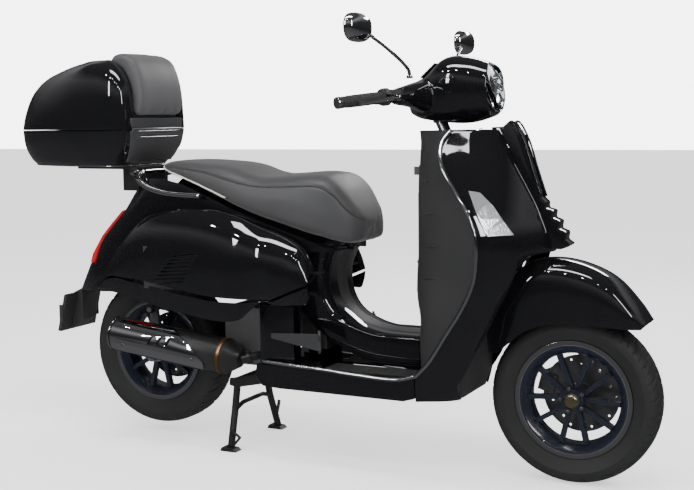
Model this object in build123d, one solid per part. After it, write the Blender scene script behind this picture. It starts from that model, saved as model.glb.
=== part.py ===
from build123d import *
from math import atan2, cos, degrees, hypot, pi, radians, sin, tan
import os

# A step-through scooter on its centre stand. Millimetres, +X forward, +Z up, +Y to the rider's left.
# The origin is at the middle of the ground under the machine's overall box.

# ---- overall layout ---------------------------------------------------------
FRONT_AXLE_X = 835.0
REAR_AXLE_X = -540.0
FRONT_TYRE_R = 236.0
REAR_TYRE_R = 243.0
REAR_LIFT = 29.0
STEER_RAKE = 26.0
STEER_GROUND_X = 922.5
WALL = 4.0
FIT = 0.05
GAP = 0.5

# ---- wheels and brakes ------------------------------------------------------
FRONT_TYRE_HW = 60.0
REAR_TYRE_HW = 65.0
RIM_R = 165.0
RIM_SEAT_R = 152.0
RIM_WELL_R = 128.0
FRONT_RIM_HW = 42.0
REAR_RIM_HW = 50.0
HUB_R = 31.0
HUB_HW = 45.0
SPOKE_PAIRS = 5
SPOKE_W = 13.0
SPOKE_D = 20.0
SPOKE_SPREAD = 20.0
AXLE_R = 10.0
DISC_R = 110.0
DISC_T = 4.0
DISC_Y = 50.0
DISC_HOLES = 20

# ---- front suspension -------------------------------------------------------
LINK_X = 930.0
LINK_Z = 215.0
LEG_Y = 78.0
LEG_R = 12.0
LINK_Y0 = 93.0
CALIPER_ANGLE = 166.0
LINK_T = 16.0
STEM_R = 17.0
STEM_TOP_Z = 1006.0
STEM_LOW_Z = 560.0
HEAD_TUBE_R = 27.0
HEAD_TUBE_TOP_Z = 950.0
HEAD_TUBE_LOW_Z = 660.0

# ---- engine unit, stand and supports ----------------------------------------
SWING_X = -70.0
SWING_Z = 330.0
STAND_X = -213.0
STAND_Z = 205.0
STAND_FOOT_Y = 145.0
STAND_EAR_Y = 110.0
STAND_TUBE_R = 11.0
SWING_PIN_R = 8.0
FOOTREST_HINGE = (128.0, 186.0)
FOOTREST_LOW_Z = 346.0
FOOTREST_TOP_Z = 396.0
MUFFLER_Y = -150.0
MUFFLER_R = 54.0
SHOCK_Y = 108.0
SHOCK_TOP = (-430.0, 650.0)
SHOCK_LOW = (-520.0, 415.0)

# ---- body -------------------------------------------------------------------
FLOOR_Z = 292.0
FLOOR_BOTTOM_Z = 224.0
FLOOR_HW = 196.0
TUNNEL_HW = 90.0
TUNNEL_TOP_Z = 388.0
BODY_HW = 140.0
LOUVRES = 8
FENDER_HW = 95.0
HORN_COVER_HW = 30.0

# ---- hinged parts -----------------------------------------------------------
SEAT_HINGE = (165.0, 640.0)
LID_HINGE = (-543.0, 988.0)
GLOVE_HINGE = (392.0, 604.0)
PIN_R = 4.0
CASE_SPLIT_Z = 985.0
CASE_BOTTOM_Z = 868.0
PAD_HW = 122.0

# ---- bars and controls ------------------------------------------------------
GRIP_IN = (368.0, 252.0, 1069.0)
GRIP_OUT = (296.0, 366.0, 1055.0)
BAR_R = 11.0
GRIP_R = 17.0
POD_FACE_X = 338.0
START_Y = 241.0
START_Z = 1066.0
HORN_Y = 241.0
HORN_Z = 1060.0
TURN_Y = 241.0
TURN_Z = 1073.0
BUTTON_TRAVEL = 3.2
SEAT_GAP = 0.3
LEVER_PIVOT = (408.0, 243.0, 1067.0)
MIRROR_BASE = (402.0, 152.0, 1122.0)
MIRROR_HEAD = (362.0, 388.0, 1246.0)

FRONT_AXLE_Z = FRONT_TYRE_R
REAR_AXLE_Z = REAR_TYRE_R + REAR_LIFT


# ---- small makers -----------------------------------------------------------
def block(x0, x1, y0, y1, z0, z1):
    """A box between two corners."""
    middle = Pos((x0 + x1) / 2, (y0 + y1) / 2, (z0 + z1) / 2)
    return middle * Box(x1 - x0, y1 - y0, z1 - z0)


def prism_xz(points, y0, y1):
    """A side profile of (x, z) points carried across from y0 to y1."""
    outline = Wire.make_polygon([Vector(x, y0, z) for x, z in points], close=True)
    return Solid.extrude(Face(outline), Vector(0, y1 - y0, 0))


def prism_xy(points, z0, z1):
    """A plan profile of (x, y) points carried up from z0 to z1."""
    outline = Wire.make_polygon([Vector(x, y, z0) for x, y in points], close=True)
    return Solid.extrude(Face(outline), Vector(0, 0, z1 - z0))


def rod(start, end, radius):
    """A round bar between two points."""
    a = Vector(*start)
    b = Vector(*end)
    place = Plane(origin=a, z_dir=b - a)
    return place * Cylinder(radius, (b - a).length, align=(Align.CENTER, Align.CENTER, Align.MIN))


def pipe(start, end, outer, inner):
    """A round tube between two points."""
    a = Vector(*start)
    b = Vector(*end)
    reach = (b - a).normalized() * 1.0
    return rod(start, end, outer) - rod(a - reach, b + reach, inner)


def pin_y(x, z, radius, y0, y1):
    """A bar along Y."""
    return rod((x, y0, z), (x, y1, z), radius)


def bent_rod(points, radius):
    """A bar along a chain of points, with a ball at each bend."""
    shape = rod(points[0], points[1], radius)
    for a, b in zip(points[1:-1], points[2:]):
        shape += rod(a, b, radius) + Pos(*a) * Sphere(radius + 0.05)
    return shape


def tapered(points, radii):
    """A bar of eight flats along a chain of points, with its own radius at each."""
    rings = []
    for i, point in enumerate(points):
        before = Vector(*points[max(0, i - 1)])
        after = Vector(*points[min(len(points) - 1, i + 1)])
        along = (after - before).normalized()
        side = along.cross(Vector(0, 0, 1)).normalized()
        up = side.cross(along)
        ring = []
        for k in range(8):
            angle = pi / 4 * k
            offset = side * (radii[i] * cos(angle)) + up * (radii[i] * sin(angle))
            ring.append(tuple(Vector(*point) + offset))
        rings.append(ring)
    return faceted(rings)


def outward(solid):
    """The same solid with its skin facing out."""
    return solid if solid.volume > 0 else -solid


def faceted(rings):
    """A closed solid skinned over rings of equally many points."""
    faces = []
    for low, high in zip(rings[:-1], rings[1:]):
        for i in range(len(low)):
            j = (i + 1) % len(low)
            for corner in ((low[i], low[j], high[j]), (low[i], high[j], high[i])):
                faces.append(Face(Wire.make_polygon([Vector(*p) for p in corner], close=True)))
    for ring in (rings[0], rings[-1]):
        middle = tuple(sum(p[k] for p in ring) / len(ring) for k in range(3))
        for i in range(len(ring)):
            corner = (ring[i], ring[(i + 1) % len(ring)], middle)
            faces.append(Face(Wire.make_polygon([Vector(*p) for p in corner], close=True)))
    return outward(Solid(Shell(faces)))


def inset(points, distance):
    """A closed outline of (u, v) points, each moved in by a distance."""
    area = 0.0
    for (u0, v0), (u1, v1) in zip(points, points[1:] + points[:1]):
        area += u0 * v1 - u1 * v0
    turn = 1.0 if area > 0 else -1.0
    moved = []
    for i, (u, v) in enumerate(points):
        before = points[i - 1]
        after = points[(i + 1) % len(points)]
        d0 = (u - before[0], v - before[1])
        d1 = (after[0] - u, after[1] - v)
        l0 = hypot(*d0)
        l1 = hypot(*d1)
        n0 = (-d0[1] / l0 * turn, d0[0] / l0 * turn)
        n1 = (-d1[1] / l1 * turn, d1[0] / l1 * turn)
        scale = distance / max(0.35, 1 + n0[0] * n1[0] + n0[1] * n1[1])
        moved.append((u + (n0[0] + n1[0]) * scale, v + (n0[1] + n1[1]) * scale))
    return moved


def full(half):
    """A half outline of (x, y) points, y from 0 up and back to 0, mirrored to a closed one."""
    return list(half) + [(x, -y) for x, y in reversed(half[1:-1])]


def stack(levels, distance=0.0):
    """A solid over plan outlines: levels is a list of (z, half outline)."""
    rings = []
    for z, half in levels:
        outline = full(half)
        if distance:
            outline = inset(outline, distance)
        rings.append([(x, y, z) for x, y in outline])
    return faceted(rings)


def spread(levels, top, bottom):
    """The same levels with the first and last moved to new heights."""
    changed = [(bottom, levels[0][1])] + list(levels[1:-1]) + [(top, levels[-1][1])]
    return changed


def mirrored(shape):
    """The same shape on the other side of the machine."""
    return mirror(shape, about=Plane.XZ)


def both(shape):
    """A shape and its mirror image, as two solids."""
    return [shape, mirrored(shape)]


def axis_point(z, forward=0.0, across=0.0):
    """The point of the steering axis at a height, moved forward and across."""
    x = STEER_GROUND_X - tan(radians(STEER_RAKE)) * z
    return (x + forward, across, z)


# ---- wheels -----------------------------------------------------------------
def wheel_rim(x, z, half_width, tyre_half_width):
    """A cast rim: barrel, hub and pairs of spokes."""
    lip = 6.0
    web = 5.0
    outer = [(RIM_SEAT_R, -half_width + lip), (RIM_R, -half_width + lip), (RIM_R, -half_width)]
    outer += [(RIM_SEAT_R - web, -half_width), (RIM_WELL_R, -half_width + 22)]
    outer += [(RIM_WELL_R, half_width - 22), (RIM_SEAT_R - web, half_width)]
    outer += [(RIM_R, half_width), (RIM_R, half_width - lip), (RIM_SEAT_R, half_width - lip)]
    outer += [(RIM_WELL_R + web, half_width - 26), (RIM_WELL_R + web, -half_width + 26)]
    face = Face(Wire.make_polygon([Vector(r, y, 0) for r, y in outer], close=True))
    rim = Solid.revolve(face, 360, Axis.Y)
    rim += rod((0, -HUB_HW, 0), (0, HUB_HW, 0), HUB_R)
    for i in range(SPOKE_PAIRS):
        turn = 360 / SPOKE_PAIRS * i + 90
        for side in (-1, 1):
            lean = radians(turn + side * SPOKE_SPREAD)
            foot = radians(turn + side * 8)
            near = (HUB_R - 8, foot)
            far = (RIM_WELL_R + 1, lean)
            a = (near[0] * cos(near[1]), near[0] * sin(near[1]))
            b = (far[0] * cos(far[1]), far[0] * sin(far[1]))
            along = (b[0] - a[0], b[1] - a[1])
            length = hypot(*along)
            n = (-along[1] / length * SPOKE_W / 2, along[0] / length * SPOKE_W / 2)
            corners = [(a[0] + n[0], a[1] + n[1]), (b[0] + n[0], b[1] + n[1])]
            corners += [(b[0] - n[0], b[1] - n[1]), (a[0] - n[0], a[1] - n[1])]
            rim += prism_xz(corners, -half_width + 12, -half_width + 12 + SPOKE_D)
    rim -= rod((0, -HUB_HW - 1, 0), (0, HUB_HW + 1, 0), AXLE_R + FIT)
    return Pos(x, 0, z) * rim


def wheel_tyre(x, z, radius, half_width, rim_half_width):
    """A tyre: a rounded section turned about the axle, hollow where the air is."""
    bead = RIM_SEAT_R + 0.3
    lip = rim_half_width - 6.0 - 0.3
    steps = 8
    outer = [(bead, -lip), (RIM_R + 1.5, -lip), (RIM_R + 1.5, -lip - 4)]
    middle = (radius + RIM_R) / 2
    for i in range(steps + 1):
        angle = pi / 2 * i / steps
        y = -half_width * cos(angle) ** 0.6
        r = middle + (radius - middle) * sin(angle)
        outer.append((r, y))
    outer = outer + [(r, -y) for r, y in reversed(outer[:-1])]
    wall = 9.0
    inner = []
    for i in range(steps + 1):
        angle = pi / 2 * i / steps
        y = -(half_width - wall) * cos(angle) ** 0.6
        r = middle + (radius - wall - middle) * sin(angle)
        inner.append((r, y))
    inner = [(bead, -lip + wall), (RIM_R, -lip + wall)] + inner
    inner = inner + [(r, -y) for r, y in reversed(inner[:-1])]
    section = outer + inner[::-1]
    face = Face(Wire.make_polygon([Vector(r, y, 0) for r, y in section], close=True))
    return Pos(x, 0, z) * Solid.revolve(face, 360, Axis.Y)


def brake_disc(x, z, y0):
    """A drilled steel disc with a dished carrier that bolts to the hub."""
    disc = rod((0, y0, 0), (0, y0 + DISC_T, 0), DISC_R)
    disc -= rod((0, y0 - 1, 0), (0, y0 + DISC_T + 1, 0), AXLE_R + 4)
    for i in range(DISC_HOLES):
        angle = 2 * pi * i / DISC_HOLES
        reach = DISC_R - 12 - 12 * (i % 2)
        hx = reach * cos(angle)
        hz = reach * sin(angle)
        disc -= rod((hx, y0 - 1, hz), (hx, y0 + DISC_T + 1, hz), 3.5)
    carrier = rod((0, HUB_HW, 0), (0, y0, 0), HUB_R)
    carrier -= rod((0, HUB_HW - 1, 0), (0, y0 + 1, 0), AXLE_R + 4)
    return Pos(x, 0, z) * (disc + carrier)


# ---- front end that steers --------------------------------------------------
def steering_stem():
    """The stem tube, the crown and the single leg on the left of the wheel."""
    top = axis_point(STEM_TOP_Z)
    low = axis_point(STEM_LOW_Z)
    knee = (712.0, LEG_Y, 500.0)
    foot = (LINK_X, LEG_Y, LINK_Z)
    stem = rod(low, top, STEM_R)
    stem += Pos(*low) * Sphere(STEM_R)
    stem += rod(low, knee, STEM_R - 2)
    stem += Pos(*knee) * Sphere(LEG_R + 2)
    stem += rod(knee, foot, LEG_R)
    stem += pin_y(LINK_X, LINK_Z, 16, LEG_Y - LEG_R, LINK_Y0 - GAP)
    stem += pin_y(LINK_X, LINK_Z, 8, LEG_Y, LINK_Y0 + LINK_T + 6)
    stem += pin_y(778, 420, 7, LEG_Y, 127)
    stem += rod((778, LEG_Y, 420), (768, LEG_Y, 425), 9)
    return stem


def front_link():
    """The trailing link, with the wheel's axle and nuts fixed in it."""
    reach = Vector(FRONT_AXLE_X - LINK_X, 0, FRONT_AXLE_Z - LINK_Z)
    arm = pin_y(LINK_X, LINK_Z, 20, LINK_Y0, LINK_Y0 + LINK_T)
    arm += pin_y(FRONT_AXLE_X, FRONT_AXLE_Z, 22, LINK_Y0, LINK_Y0 + LINK_T)
    side = Vector(-reach.Z, 0, reach.X).normalized() * 14
    a = Vector(LINK_X, 0, LINK_Z)
    b = Vector(FRONT_AXLE_X, 0, FRONT_AXLE_Z)
    corners = [a + side, b + side, b - side, a - side]
    arm += prism_xz([(p.X, p.Z) for p in corners], LINK_Y0, LINK_Y0 + LINK_T)
    bracket = prism_xz([(0, 0), (-65, 94), (-90, 69), (-20, -14)], LINK_Y0 - 12, LINK_Y0)
    bracket += block(-93, -63, DISC_Y + DISC_T + 15, LINK_Y0, 64, 94)
    arm += Pos(FRONT_AXLE_X, 0, FRONT_AXLE_Z) * Rot(0, 142 - CALIPER_ANGLE, 0) * bracket
    arm -= pin_y(LINK_X, LINK_Z, 8 + FIT, LINK_Y0 - 15, LINK_Y0 + LINK_T + 1)
    arm += pin_y(FRONT_AXLE_X, FRONT_AXLE_Z, AXLE_R, -HUB_HW - 12, LINK_Y0 + 2)
    arm += pin_y(FRONT_AXLE_X, FRONT_AXLE_Z, 20, -HUB_HW - 12, -HUB_HW - GAP)
    arm += pin_y(FRONT_AXLE_X, FRONT_AXLE_Z, 13, DISC_Y + DISC_T + GAP, LINK_Y0)
    arm += pin_y(860, 231, 7, LINK_Y0, 127)
    return arm


def front_shock():
    """The damper with its coil spring, between the link and the leg."""
    return shock((860, 118, 231), (778, 118, 420), 7.3, 15)


def shock(low, high, eye_bore, coil_r):
    """A damper: two eyes, a body, a rod and a spring drawn as a ribbed sleeve."""
    a = Vector(*low)
    b = Vector(*high)
    along = (b - a).normalized()
    length = (b - a).length
    body = rod(a + along * 10, a + along * (length * 0.55), coil_r * 0.55)
    body += rod(a + along * 10, b - along * 10, coil_r * 0.3)
    turns = 8
    for i in range(turns):
        start = a + along * (length * (0.18 + 0.66 * i / turns))
        body += rod(start, start + along * (length * 0.04), coil_r)
    for centre in (a, b):
        body += pin_y(centre.X, centre.Z, eye_bore + 5, centre.Y - 7, centre.Y + 7)
    for centre in (a, b):
        body -= pin_y(centre.X, centre.Z, eye_bore, centre.Y - 9, centre.Y + 9)
    return body


def brake_caliper(x, z, angle, y_disc):
    """A two-piston caliper astride the disc, held at an angle round the axle."""
    reach = 98.0
    cx = reach * cos(radians(angle))
    cz = reach * sin(radians(angle))
    inner = block(-26, 26, y_disc - 9, y_disc - GAP, -22, 22)
    outer = block(-26, 26, y_disc + DISC_T + GAP, y_disc + DISC_T + 11.5, -22, 22)
    bridge = block(-26, 26, y_disc - 9, y_disc + DISC_T + 11.5, 16, 24)
    shape = inner + outer + bridge
    for off in (-12, 12):
        shape += rod((off, y_disc + DISC_T + 5, 0), (off, y_disc + DISC_T + 15, 0), 10)
    turned = Rot(0, 90 - angle, 0) * shape
    return Pos(x + cx, 0, z + cz) * turned


def front_fender():
    """The mudguard over the front wheel, carried on the stem."""
    top = [(586, 426), (619, 512), (653, 569), (710, 618), (727, 622), (770, 627), (812, 623)]
    top += [(868, 612), (923, 586), (964, 558), (1005, 508), (1040, 459)]
    low = [(984, 449), (862, 456), (771, 449), (706, 423), (668, 392), (625, 359), (600, 354)]
    outline = top + low
    outer = prism_xz(outline, -FENDER_HW, FENDER_HW)
    crown = [e for e in outer.edges() if e.center().Z > 505 and abs(e.center().Y) > FENDER_HW - 1]
    inner_top = inset(outline, WALL)
    inner = prism_xz(inner_top, -FENDER_HW + WALL, FENDER_HW - WALL)
    raised = [(x, z + 2.5 * WALL) for x, z in low]
    opened = prism_xz(raised[::-1] + [(1025, 440), (1025, 300), (570, 300)], -FENDER_HW + WALL,
                      FENDER_HW - WALL)
    plan = [(1060, FENDER_HW), (1060, -FENDER_HW), (730, -FENDER_HW), (570, -66), (570, 66), (730, FENDER_HW)]
    plan_in = [(1060, FENDER_HW - WALL), (1060, WALL - FENDER_HW), (730, WALL - FENDER_HW), (560, WALL - 65),
               (560, 65 - WALL), (730, FENDER_HW - WALL)]
    shell = chamfer(crown, 22) & prism_xy(plan, 300, 700)
    shell -= (inner + opened) & prism_xy(plan_in, 290, 700)
    return shell - steering_stem()


# ---- handlebar group --------------------------------------------------------
HEADSET_STATIONS = [
    (352, 40, 1018, 1078), (376, 62, 1008, 1112), (407, 74, 1003, 1142), (449, 84, 998, 1178),
    (470, 88, 996, 1186), (521, 90, 995, 1181), (551, 88, 1000, 1176), (600, 80, 1018, 1160),
]


def section_yz(x, half_width, low, high, distance=0.0):
    """Eight corners of a rounded section across the machine."""
    hw = half_width - distance
    z0 = low + distance
    z1 = high - distance
    bevel_y = hw * 0.36
    bevel_z = (z1 - z0) * 0.3
    ring = [(-hw, z0 + bevel_z), (-hw, z1 - bevel_z), (-hw + bevel_y, z1), (hw - bevel_y, z1)]
    ring += [(hw, z1 - bevel_z), (hw, z0 + bevel_z), (hw - bevel_y, z0), (-hw + bevel_y, z0)]
    return [(x, y, z) for y, z in ring]


def headset_cover():
    """The cowl round the bars, open at the front for the lamp and at the ends for the bars."""
    outer = faceted([section_yz(*s) for s in HEADSET_STATIONS])
    inner_stations = [HEADSET_STATIONS[0]] + HEADSET_STATIONS[1:]
    inner = faceted([section_yz(*s, distance=WALL) for s in inner_stations])
    ends = ((400, 60, 1072, 46), (398, 120, 1074, 36), (392, 175, 1072, 28), (384, 222, 1070, 22))
    wings = []
    hollows = []
    for side in (-1, 1):
        rings = []
        holes = []
        for x, y, z, r in ends:
            corners = [(cos(2 * pi * k / 8 + pi / 8), sin(2 * pi * k / 8 + pi / 8)) for k in range(8)]
            rings.append([(x + r * c, side * y, z + r * s) for c, s in corners])
            near = r - WALL
            holes.append([(x + near * c, side * (y + 0.0), z + near * s) for c, s in corners])
        wings.append(faceted(rings))
        hollows.append(faceted(holes))
    shell = outer + wings[0] + wings[1]
    front = prism_xz([(564, 1190), (619, 1010), (619, 980), (700, 980), (700, 1190)], -150, 150)
    shell = shell - inner - hollows[0] - hollows[1] - front
    shell -= rod(axis_point(980), axis_point(STEM_TOP_Z + 20), STEM_R + 4 + GAP)
    for side in (-1, 1):
        out = (GRIP_OUT[0], side * GRIP_OUT[1], GRIP_OUT[2])
        start = (GRIP_IN[0], side * GRIP_IN[1], GRIP_IN[2])
        shell -= rod((400, side * 150, 1075), start, BAR_R + GAP)
        boss = (MIRROR_BASE[0], side * MIRROR_BASE[1])
        shell += rod((*boss, MIRROR_BASE[2] - 25), (*boss, MIRROR_BASE[2] - SEAT_GAP), 9)
        shell -= rod(start, out, GRIP_R + GAP)
    return shell


def headlamp():
    """The big lamp that fills the front of the headset, lens and reflector in one unit."""
    plane_low = (616, 1030)
    plane_top = (575, 1165)
    along = (plane_top[0] - plane_low[0], plane_top[1] - plane_low[1])
    length = hypot(*along)
    normal = (along[1] / length, -along[0] / length)
    centre = ((plane_low[0] + plane_top[0]) / 2, (plane_low[1] + plane_top[1]) / 2)
    rings = []
    for depth, scale in ((-34, 0.82), (-10, 0.93), (0, 0.95), (7, 0.8)):
        ring = []
        for k in range(16):
            angle = 2 * pi * k / 16
            across = 82.6 * scale * cos(angle)
            up = 73.6 * scale * sin(angle)
            x = centre[0] + along[0] / length * up + normal[0] * (depth - 14)
            z = centre[1] + along[1] / length * up + normal[1] * (depth - 14)
            ring.append((x, across, z))
        rings.append(ring)
    return faceted(rings)


def handlebar():
    """The steel bar, clamped to the stem, with weights on its ends."""
    clamp = axis_point(1062)
    shape = bent_rod([(GRIP_OUT[0], GRIP_OUT[1], GRIP_OUT[2]), (GRIP_IN[0], GRIP_IN[1], GRIP_IN[2]),
                      (400, 150, 1075), (clamp[0], 0, 1070), (400, -150, 1075),
                      (GRIP_IN[0], -GRIP_IN[1], GRIP_IN[2]), (GRIP_OUT[0], -GRIP_OUT[1], GRIP_OUT[2])],
                     BAR_R)
    shape += rod(axis_point(STEM_TOP_Z + 0), axis_point(1080), STEM_R + 4)
    out = Vector(*GRIP_OUT)
    direction = (out - Vector(*GRIP_IN)).normalized()
    for side in (-1, 1):
        end = Vector(out.X, side * out.Y, out.Z)
        step = Vector(direction.X, side * direction.Y, direction.Z)
        shape += rod(end, end + step * 14, 15)
    return shape


def grip(side):
    """A rubber grip with a flange, over the bar."""
    out = Vector(GRIP_OUT[0], side * GRIP_OUT[1], GRIP_OUT[2])
    start = Vector(GRIP_IN[0], side * GRIP_IN[1], GRIP_IN[2])
    step = (out - start).normalized()
    shape = rod(start + step * 4, out - step * GAP, GRIP_R)
    shape += rod(start + step * 4, start + step * 9, GRIP_R + 5)
    return shape - rod(start - step * 5, out + step * 5, BAR_R + FIT)


def brake_lever(side):
    """A lever that pivots ahead of the grip."""
    x, y, z = LEVER_PIVOT
    path = [(x - 3, side * (y + 7), z), (x - 6, side * (y + 26), z - 2), (x - 50, side * (y + 112), z - 14),
            (x - 60, side * (y + 126), z - 16)]
    shape = tapered(path, (6.5, 6.0, 5.0, 8.0))
    shape += rod((x, side * y, z - 7), (x, side * y, z + 7), 9)
    return shape - rod((x, side * y, z - 20), (x, side * y, z + 20), PIN_R + FIT)


def switch_pods():
    """The brake reservoirs with their lever brackets, and the switch housings."""
    shapes = []
    x, y, z = LEVER_PIVOT
    for side in (-1, 1):
        start = Vector(GRIP_IN[0], side * GRIP_IN[1], GRIP_IN[2])
        out = Vector(GRIP_OUT[0], side * GRIP_OUT[1], GRIP_OUT[2])
        step = (out - start).normalized()
        pod = rod(start - step * 12, start + step * 3, 24)
        low = min(side * (y - 10), side * (y + 12))
        high = max(side * (y - 10), side * (y + 12))
        pod += block(x - 26, x + 12, low, high, z + 8, z + 22)
        pod += block(x - 52, x - 16, low, high, z - 8, z + 22)
        near = side * (y - 16)
        far = side * (y + 12)
        pod += block(344, 362, min(near, far), max(near, far), z - 18, z + 16)
        pod += block(POD_FACE_X, 346, min(near, far), max(near, far), z - 16, z + 13)
        pod += rod((x, side * y, z - 9), (x, side * y, z + 10), PIN_R)
        pod -= rod(start + step * 3.5, out, GRIP_R + 6)
        pod -= rod(start - step * 40, out, BAR_R + FIT)
        pod -= rod((400, side * 150, 1075), (GRIP_IN[0], side * GRIP_IN[1], GRIP_IN[2]), BAR_R + FIT)
        slot = block(x - 32, x + 30, side * (y + 26) - 20, side * (y + 26) + 20, z - 11, z + 9)
        pod -= slot
        if side < 0:
            pod -= push_button(side, START_Y, START_Z, SEAT_GAP, BUTTON_TRAVEL)
        else:
            pod -= push_button(side, HORN_Y, HORN_Z, SEAT_GAP, BUTTON_TRAVEL)
            pod -= slide_switch(SEAT_GAP, BUTTON_TRAVEL)
        shapes.append(pod)
    return shapes


def mirror_arm(side):
    """A mirror: round stem, oval housing and glass."""
    base = (MIRROR_BASE[0], side * MIRROR_BASE[1], MIRROR_BASE[2])
    knee = (MIRROR_BASE[0] - 4, side * (MIRROR_BASE[1] + 28), MIRROR_BASE[2] + 36)
    head = (MIRROR_HEAD[0], side * MIRROR_HEAD[1], MIRROR_HEAD[2])
    tip = (MIRROR_HEAD[0] + 6, side * (MIRROR_HEAD[1] - 40), MIRROR_HEAD[2] - 12)
    neck = (base[0], base[1], base[2] + 9)
    stem = rod(base, neck, 8) + bent_rod([(base[0], base[1], base[2] + 4), (neck[0], neck[1], neck[2] + 3),
                                          knee, tip], 4.5)
    rings = []
    for depth, scale in ((-14, 0.94), (0, 1.0), (12, 0.8), (19, 0.4)):
        ring = []
        for k in range(14):
            angle = 2 * pi * k / 14
            ring.append((head[0] + depth, head[1] + 66 * scale * cos(angle),
                         head[2] + 38 * scale * sin(angle)))
        rings.append(ring)
    return stem + faceted(rings)


# ---- chassis shells ---------------------------------------------------------
SHIELD_LEVELS = [
    (225, ((560, 0), (555, 60), (520, 140), (430, 190))),
    (302, ((585, 0), (580, 60), (560, 150), (441, 210))),
    (347, ((610, 0), (604, 60), (580, 155), (484, 215))),
    (425, ((652, 0), (646, 60), (618, 165), (535, 220))),
    (501, ((700, 0), (692, 60), (655, 165), (584, 225))),
    (576, ((745, 0), (735, 60), (695, 160), (619, 230))),
    (647, ((775, 0), (762, 60), (716, 160), (629, 235))),
    (697, ((765, 0), (752, 60), (706, 160), (626, 235))),
    (744, ((745, 0), (732, 60), (686, 160), (609, 230))),
    (813, ((712, 0), (700, 60), (650, 150), (565, 215))),
    (883, ((676, 0), (664, 55), (608, 135), (517, 195))),
    (943, ((644, 0), (632, 45), (575, 105), (499, 150))),
    (977, ((625, 0), (613, 37), (562, 83), (512, 113))),
]
INNER_LEVELS = [
    (FLOOR_Z, ((440, 0), (440, 96), (441, 150), (436, 202))),
    (347, ((425, 0), (425, 96), (430, 150), (478, 209))),
    (425, ((405, 0), (410, 80), (424, 130), (529, 214))),
    (501, ((388, 0), (393, 80), (440, 140), (577, 218))),
    (576, ((390, 0), (395, 82), (450, 140), (611, 223))),
    (647, ((397, 0), (400, 82), (460, 145), (621, 228))),
    (697, ((397, 0), (400, 82), (462, 145), (618, 228))),
    (744, ((397, 0), (400, 82), (452, 140), (601, 223))),
    (813, ((395, 0), (399, 78), (440, 130), (557, 208))),
    (883, ((391, 0), (397, 66), (430, 120), (509, 188))),
    (943, ((385, 0), (393, 50), (420, 90), (491, 143))),
    (977, ((374, 0), (385, 38), (420, 69), (503, 106))),
]


def sheet_stack(levels, inward):
    """An open curved sheet over plan half outlines, WALL thick, growing to +X or -X."""
    rings = []
    for z, half in levels:
        line = [(x, -y) for x, y in reversed(half)] + [(x, y) for x, y in half[1:]]
        back = []
        for i, (x, y) in enumerate(line):
            before = line[max(0, i - 1)]
            after = line[min(len(line) - 1, i + 1)]
            du = after[0] - before[0]
            dv = after[1] - before[1]
            size = hypot(du, dv)
            back.append((x - dv / size * WALL * inward, y + du / size * WALL * inward))
        rings.append([(x, y, z) for x, y in line + back[::-1]])
    return faceted_strip(rings)


def faceted_strip(rings):
    """Like faceted, for long thin rings: flat ends are filled as one face."""
    faces = []
    for low, high in zip(rings[:-1], rings[1:]):
        for i in range(len(low)):
            j = (i + 1) % len(low)
            for corner in ((low[i], low[j], high[j]), (low[i], high[j], high[i])):
                faces.append(Face(Wire.make_polygon([Vector(*p) for p in corner], close=True)))
    for ring in (rings[0], rings[-1]):
        faces.append(Face(Wire.make_polygon([Vector(*p) for p in ring], close=True)))
    return outward(Solid(Shell(faces)))


ARCH_LINE = [(752, 642), (676, 622), (604, 562), (552, 470), (540, 400), (536, 226)]
ARCH = [(900, 642)] + ARCH_LINE + [(536, 200), (900, 200)]
ARCH_HW = 152.0


def shield_envelope():
    """The solid that the leg shield's outer face bounds."""
    levels = []
    for z, half in SHIELD_LEVELS:
        levels.append((z, list(half) + [(300, half[-1][1]), (300, 0)]))
    return stack(levels)


def shield_sheet():
    """The leg shield's outer steel, open behind and cut away round the front wheel."""
    inner = []
    for z, half in spread(SHIELD_LEVELS, 990, 220):
        closed = full(list(half) + [(200, half[-1][1]), (200, 0)])
        inner.append([(x, y, z) for x, y in inset(closed, WALL)])
    edge = [(half[-1][0], z) for z, half in SHIELD_LEVELS]
    behind = [(100, 200), (edge[0][0], 200)] + edge + [(edge[-1][0], 1000), (100, 1000)]
    sheet = shield_envelope() - faceted(inner)
    return sheet - prism_xz(behind, -300, 300) - prism_xz(ARCH, -ARCH_HW, ARCH_HW)


def front_shield():
    """The steel leg shield, with the wheel arch behind the front wheel."""
    sheet = shield_sheet()
    back = [(x - WALL, z + WALL * 0.8) for x, z in ARCH_LINE[:-1]] + [(532, 230)]
    floor_end = [(432, 226), (432, 230)]
    liner = prism_xz(ARCH_LINE + floor_end + back[::-1], -ARCH_HW, ARCH_HW)
    stem_hole = rod(axis_point(520), axis_point(700), HEAD_TUBE_R)
    return [sheet, (liner & shield_core()) - stem_hole]


def inner_shield():
    """The knee panel on the rider's side, with the glovebox behind its opening."""
    panel = sheet_stack(INNER_LEVELS, -1)
    panel -= block(300, 520, -TUNNEL_HW - GAP, TUNNEL_HW + GAP, 200, TUNNEL_TOP_Z + GAP)
    panel -= block(300, 430, -74, 74, 598, 802)
    bin_box = block(401, 482, -78, 78, 594, 806) - block(390, 478, -74, 74, 598, 802)
    panel += bin_box
    panel -= block(380, 400.5, -74.01, 74.01, 598, 802)
    x, z = GLOVE_HINGE
    for y in (-80, 74.3):
        lug = block(x - 5, 404, y, y + 5.7, z - 6, z + 6)
        panel += lug - pin_y(x, z, 2 + FIT, y - 1, y + 7)
    return panel - shield_sheet()


def glovebox_door():
    """The glovebox door, with a lock, hinged along its lower edge."""
    door = block(392, 399, -73, 73, 606, 801)
    door += block(388, 392, -58, 58, 622, 786)
    door += rod((384, 0, 780), (392, 0, 780), 12)
    door += pin_y(GLOVE_HINGE[0], GLOVE_HINGE[1], 4.4, -73, 73)
    door -= pin_y(GLOVE_HINGE[0], GLOVE_HINGE[1], 2 + FIT, -80, 80)
    return door


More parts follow.
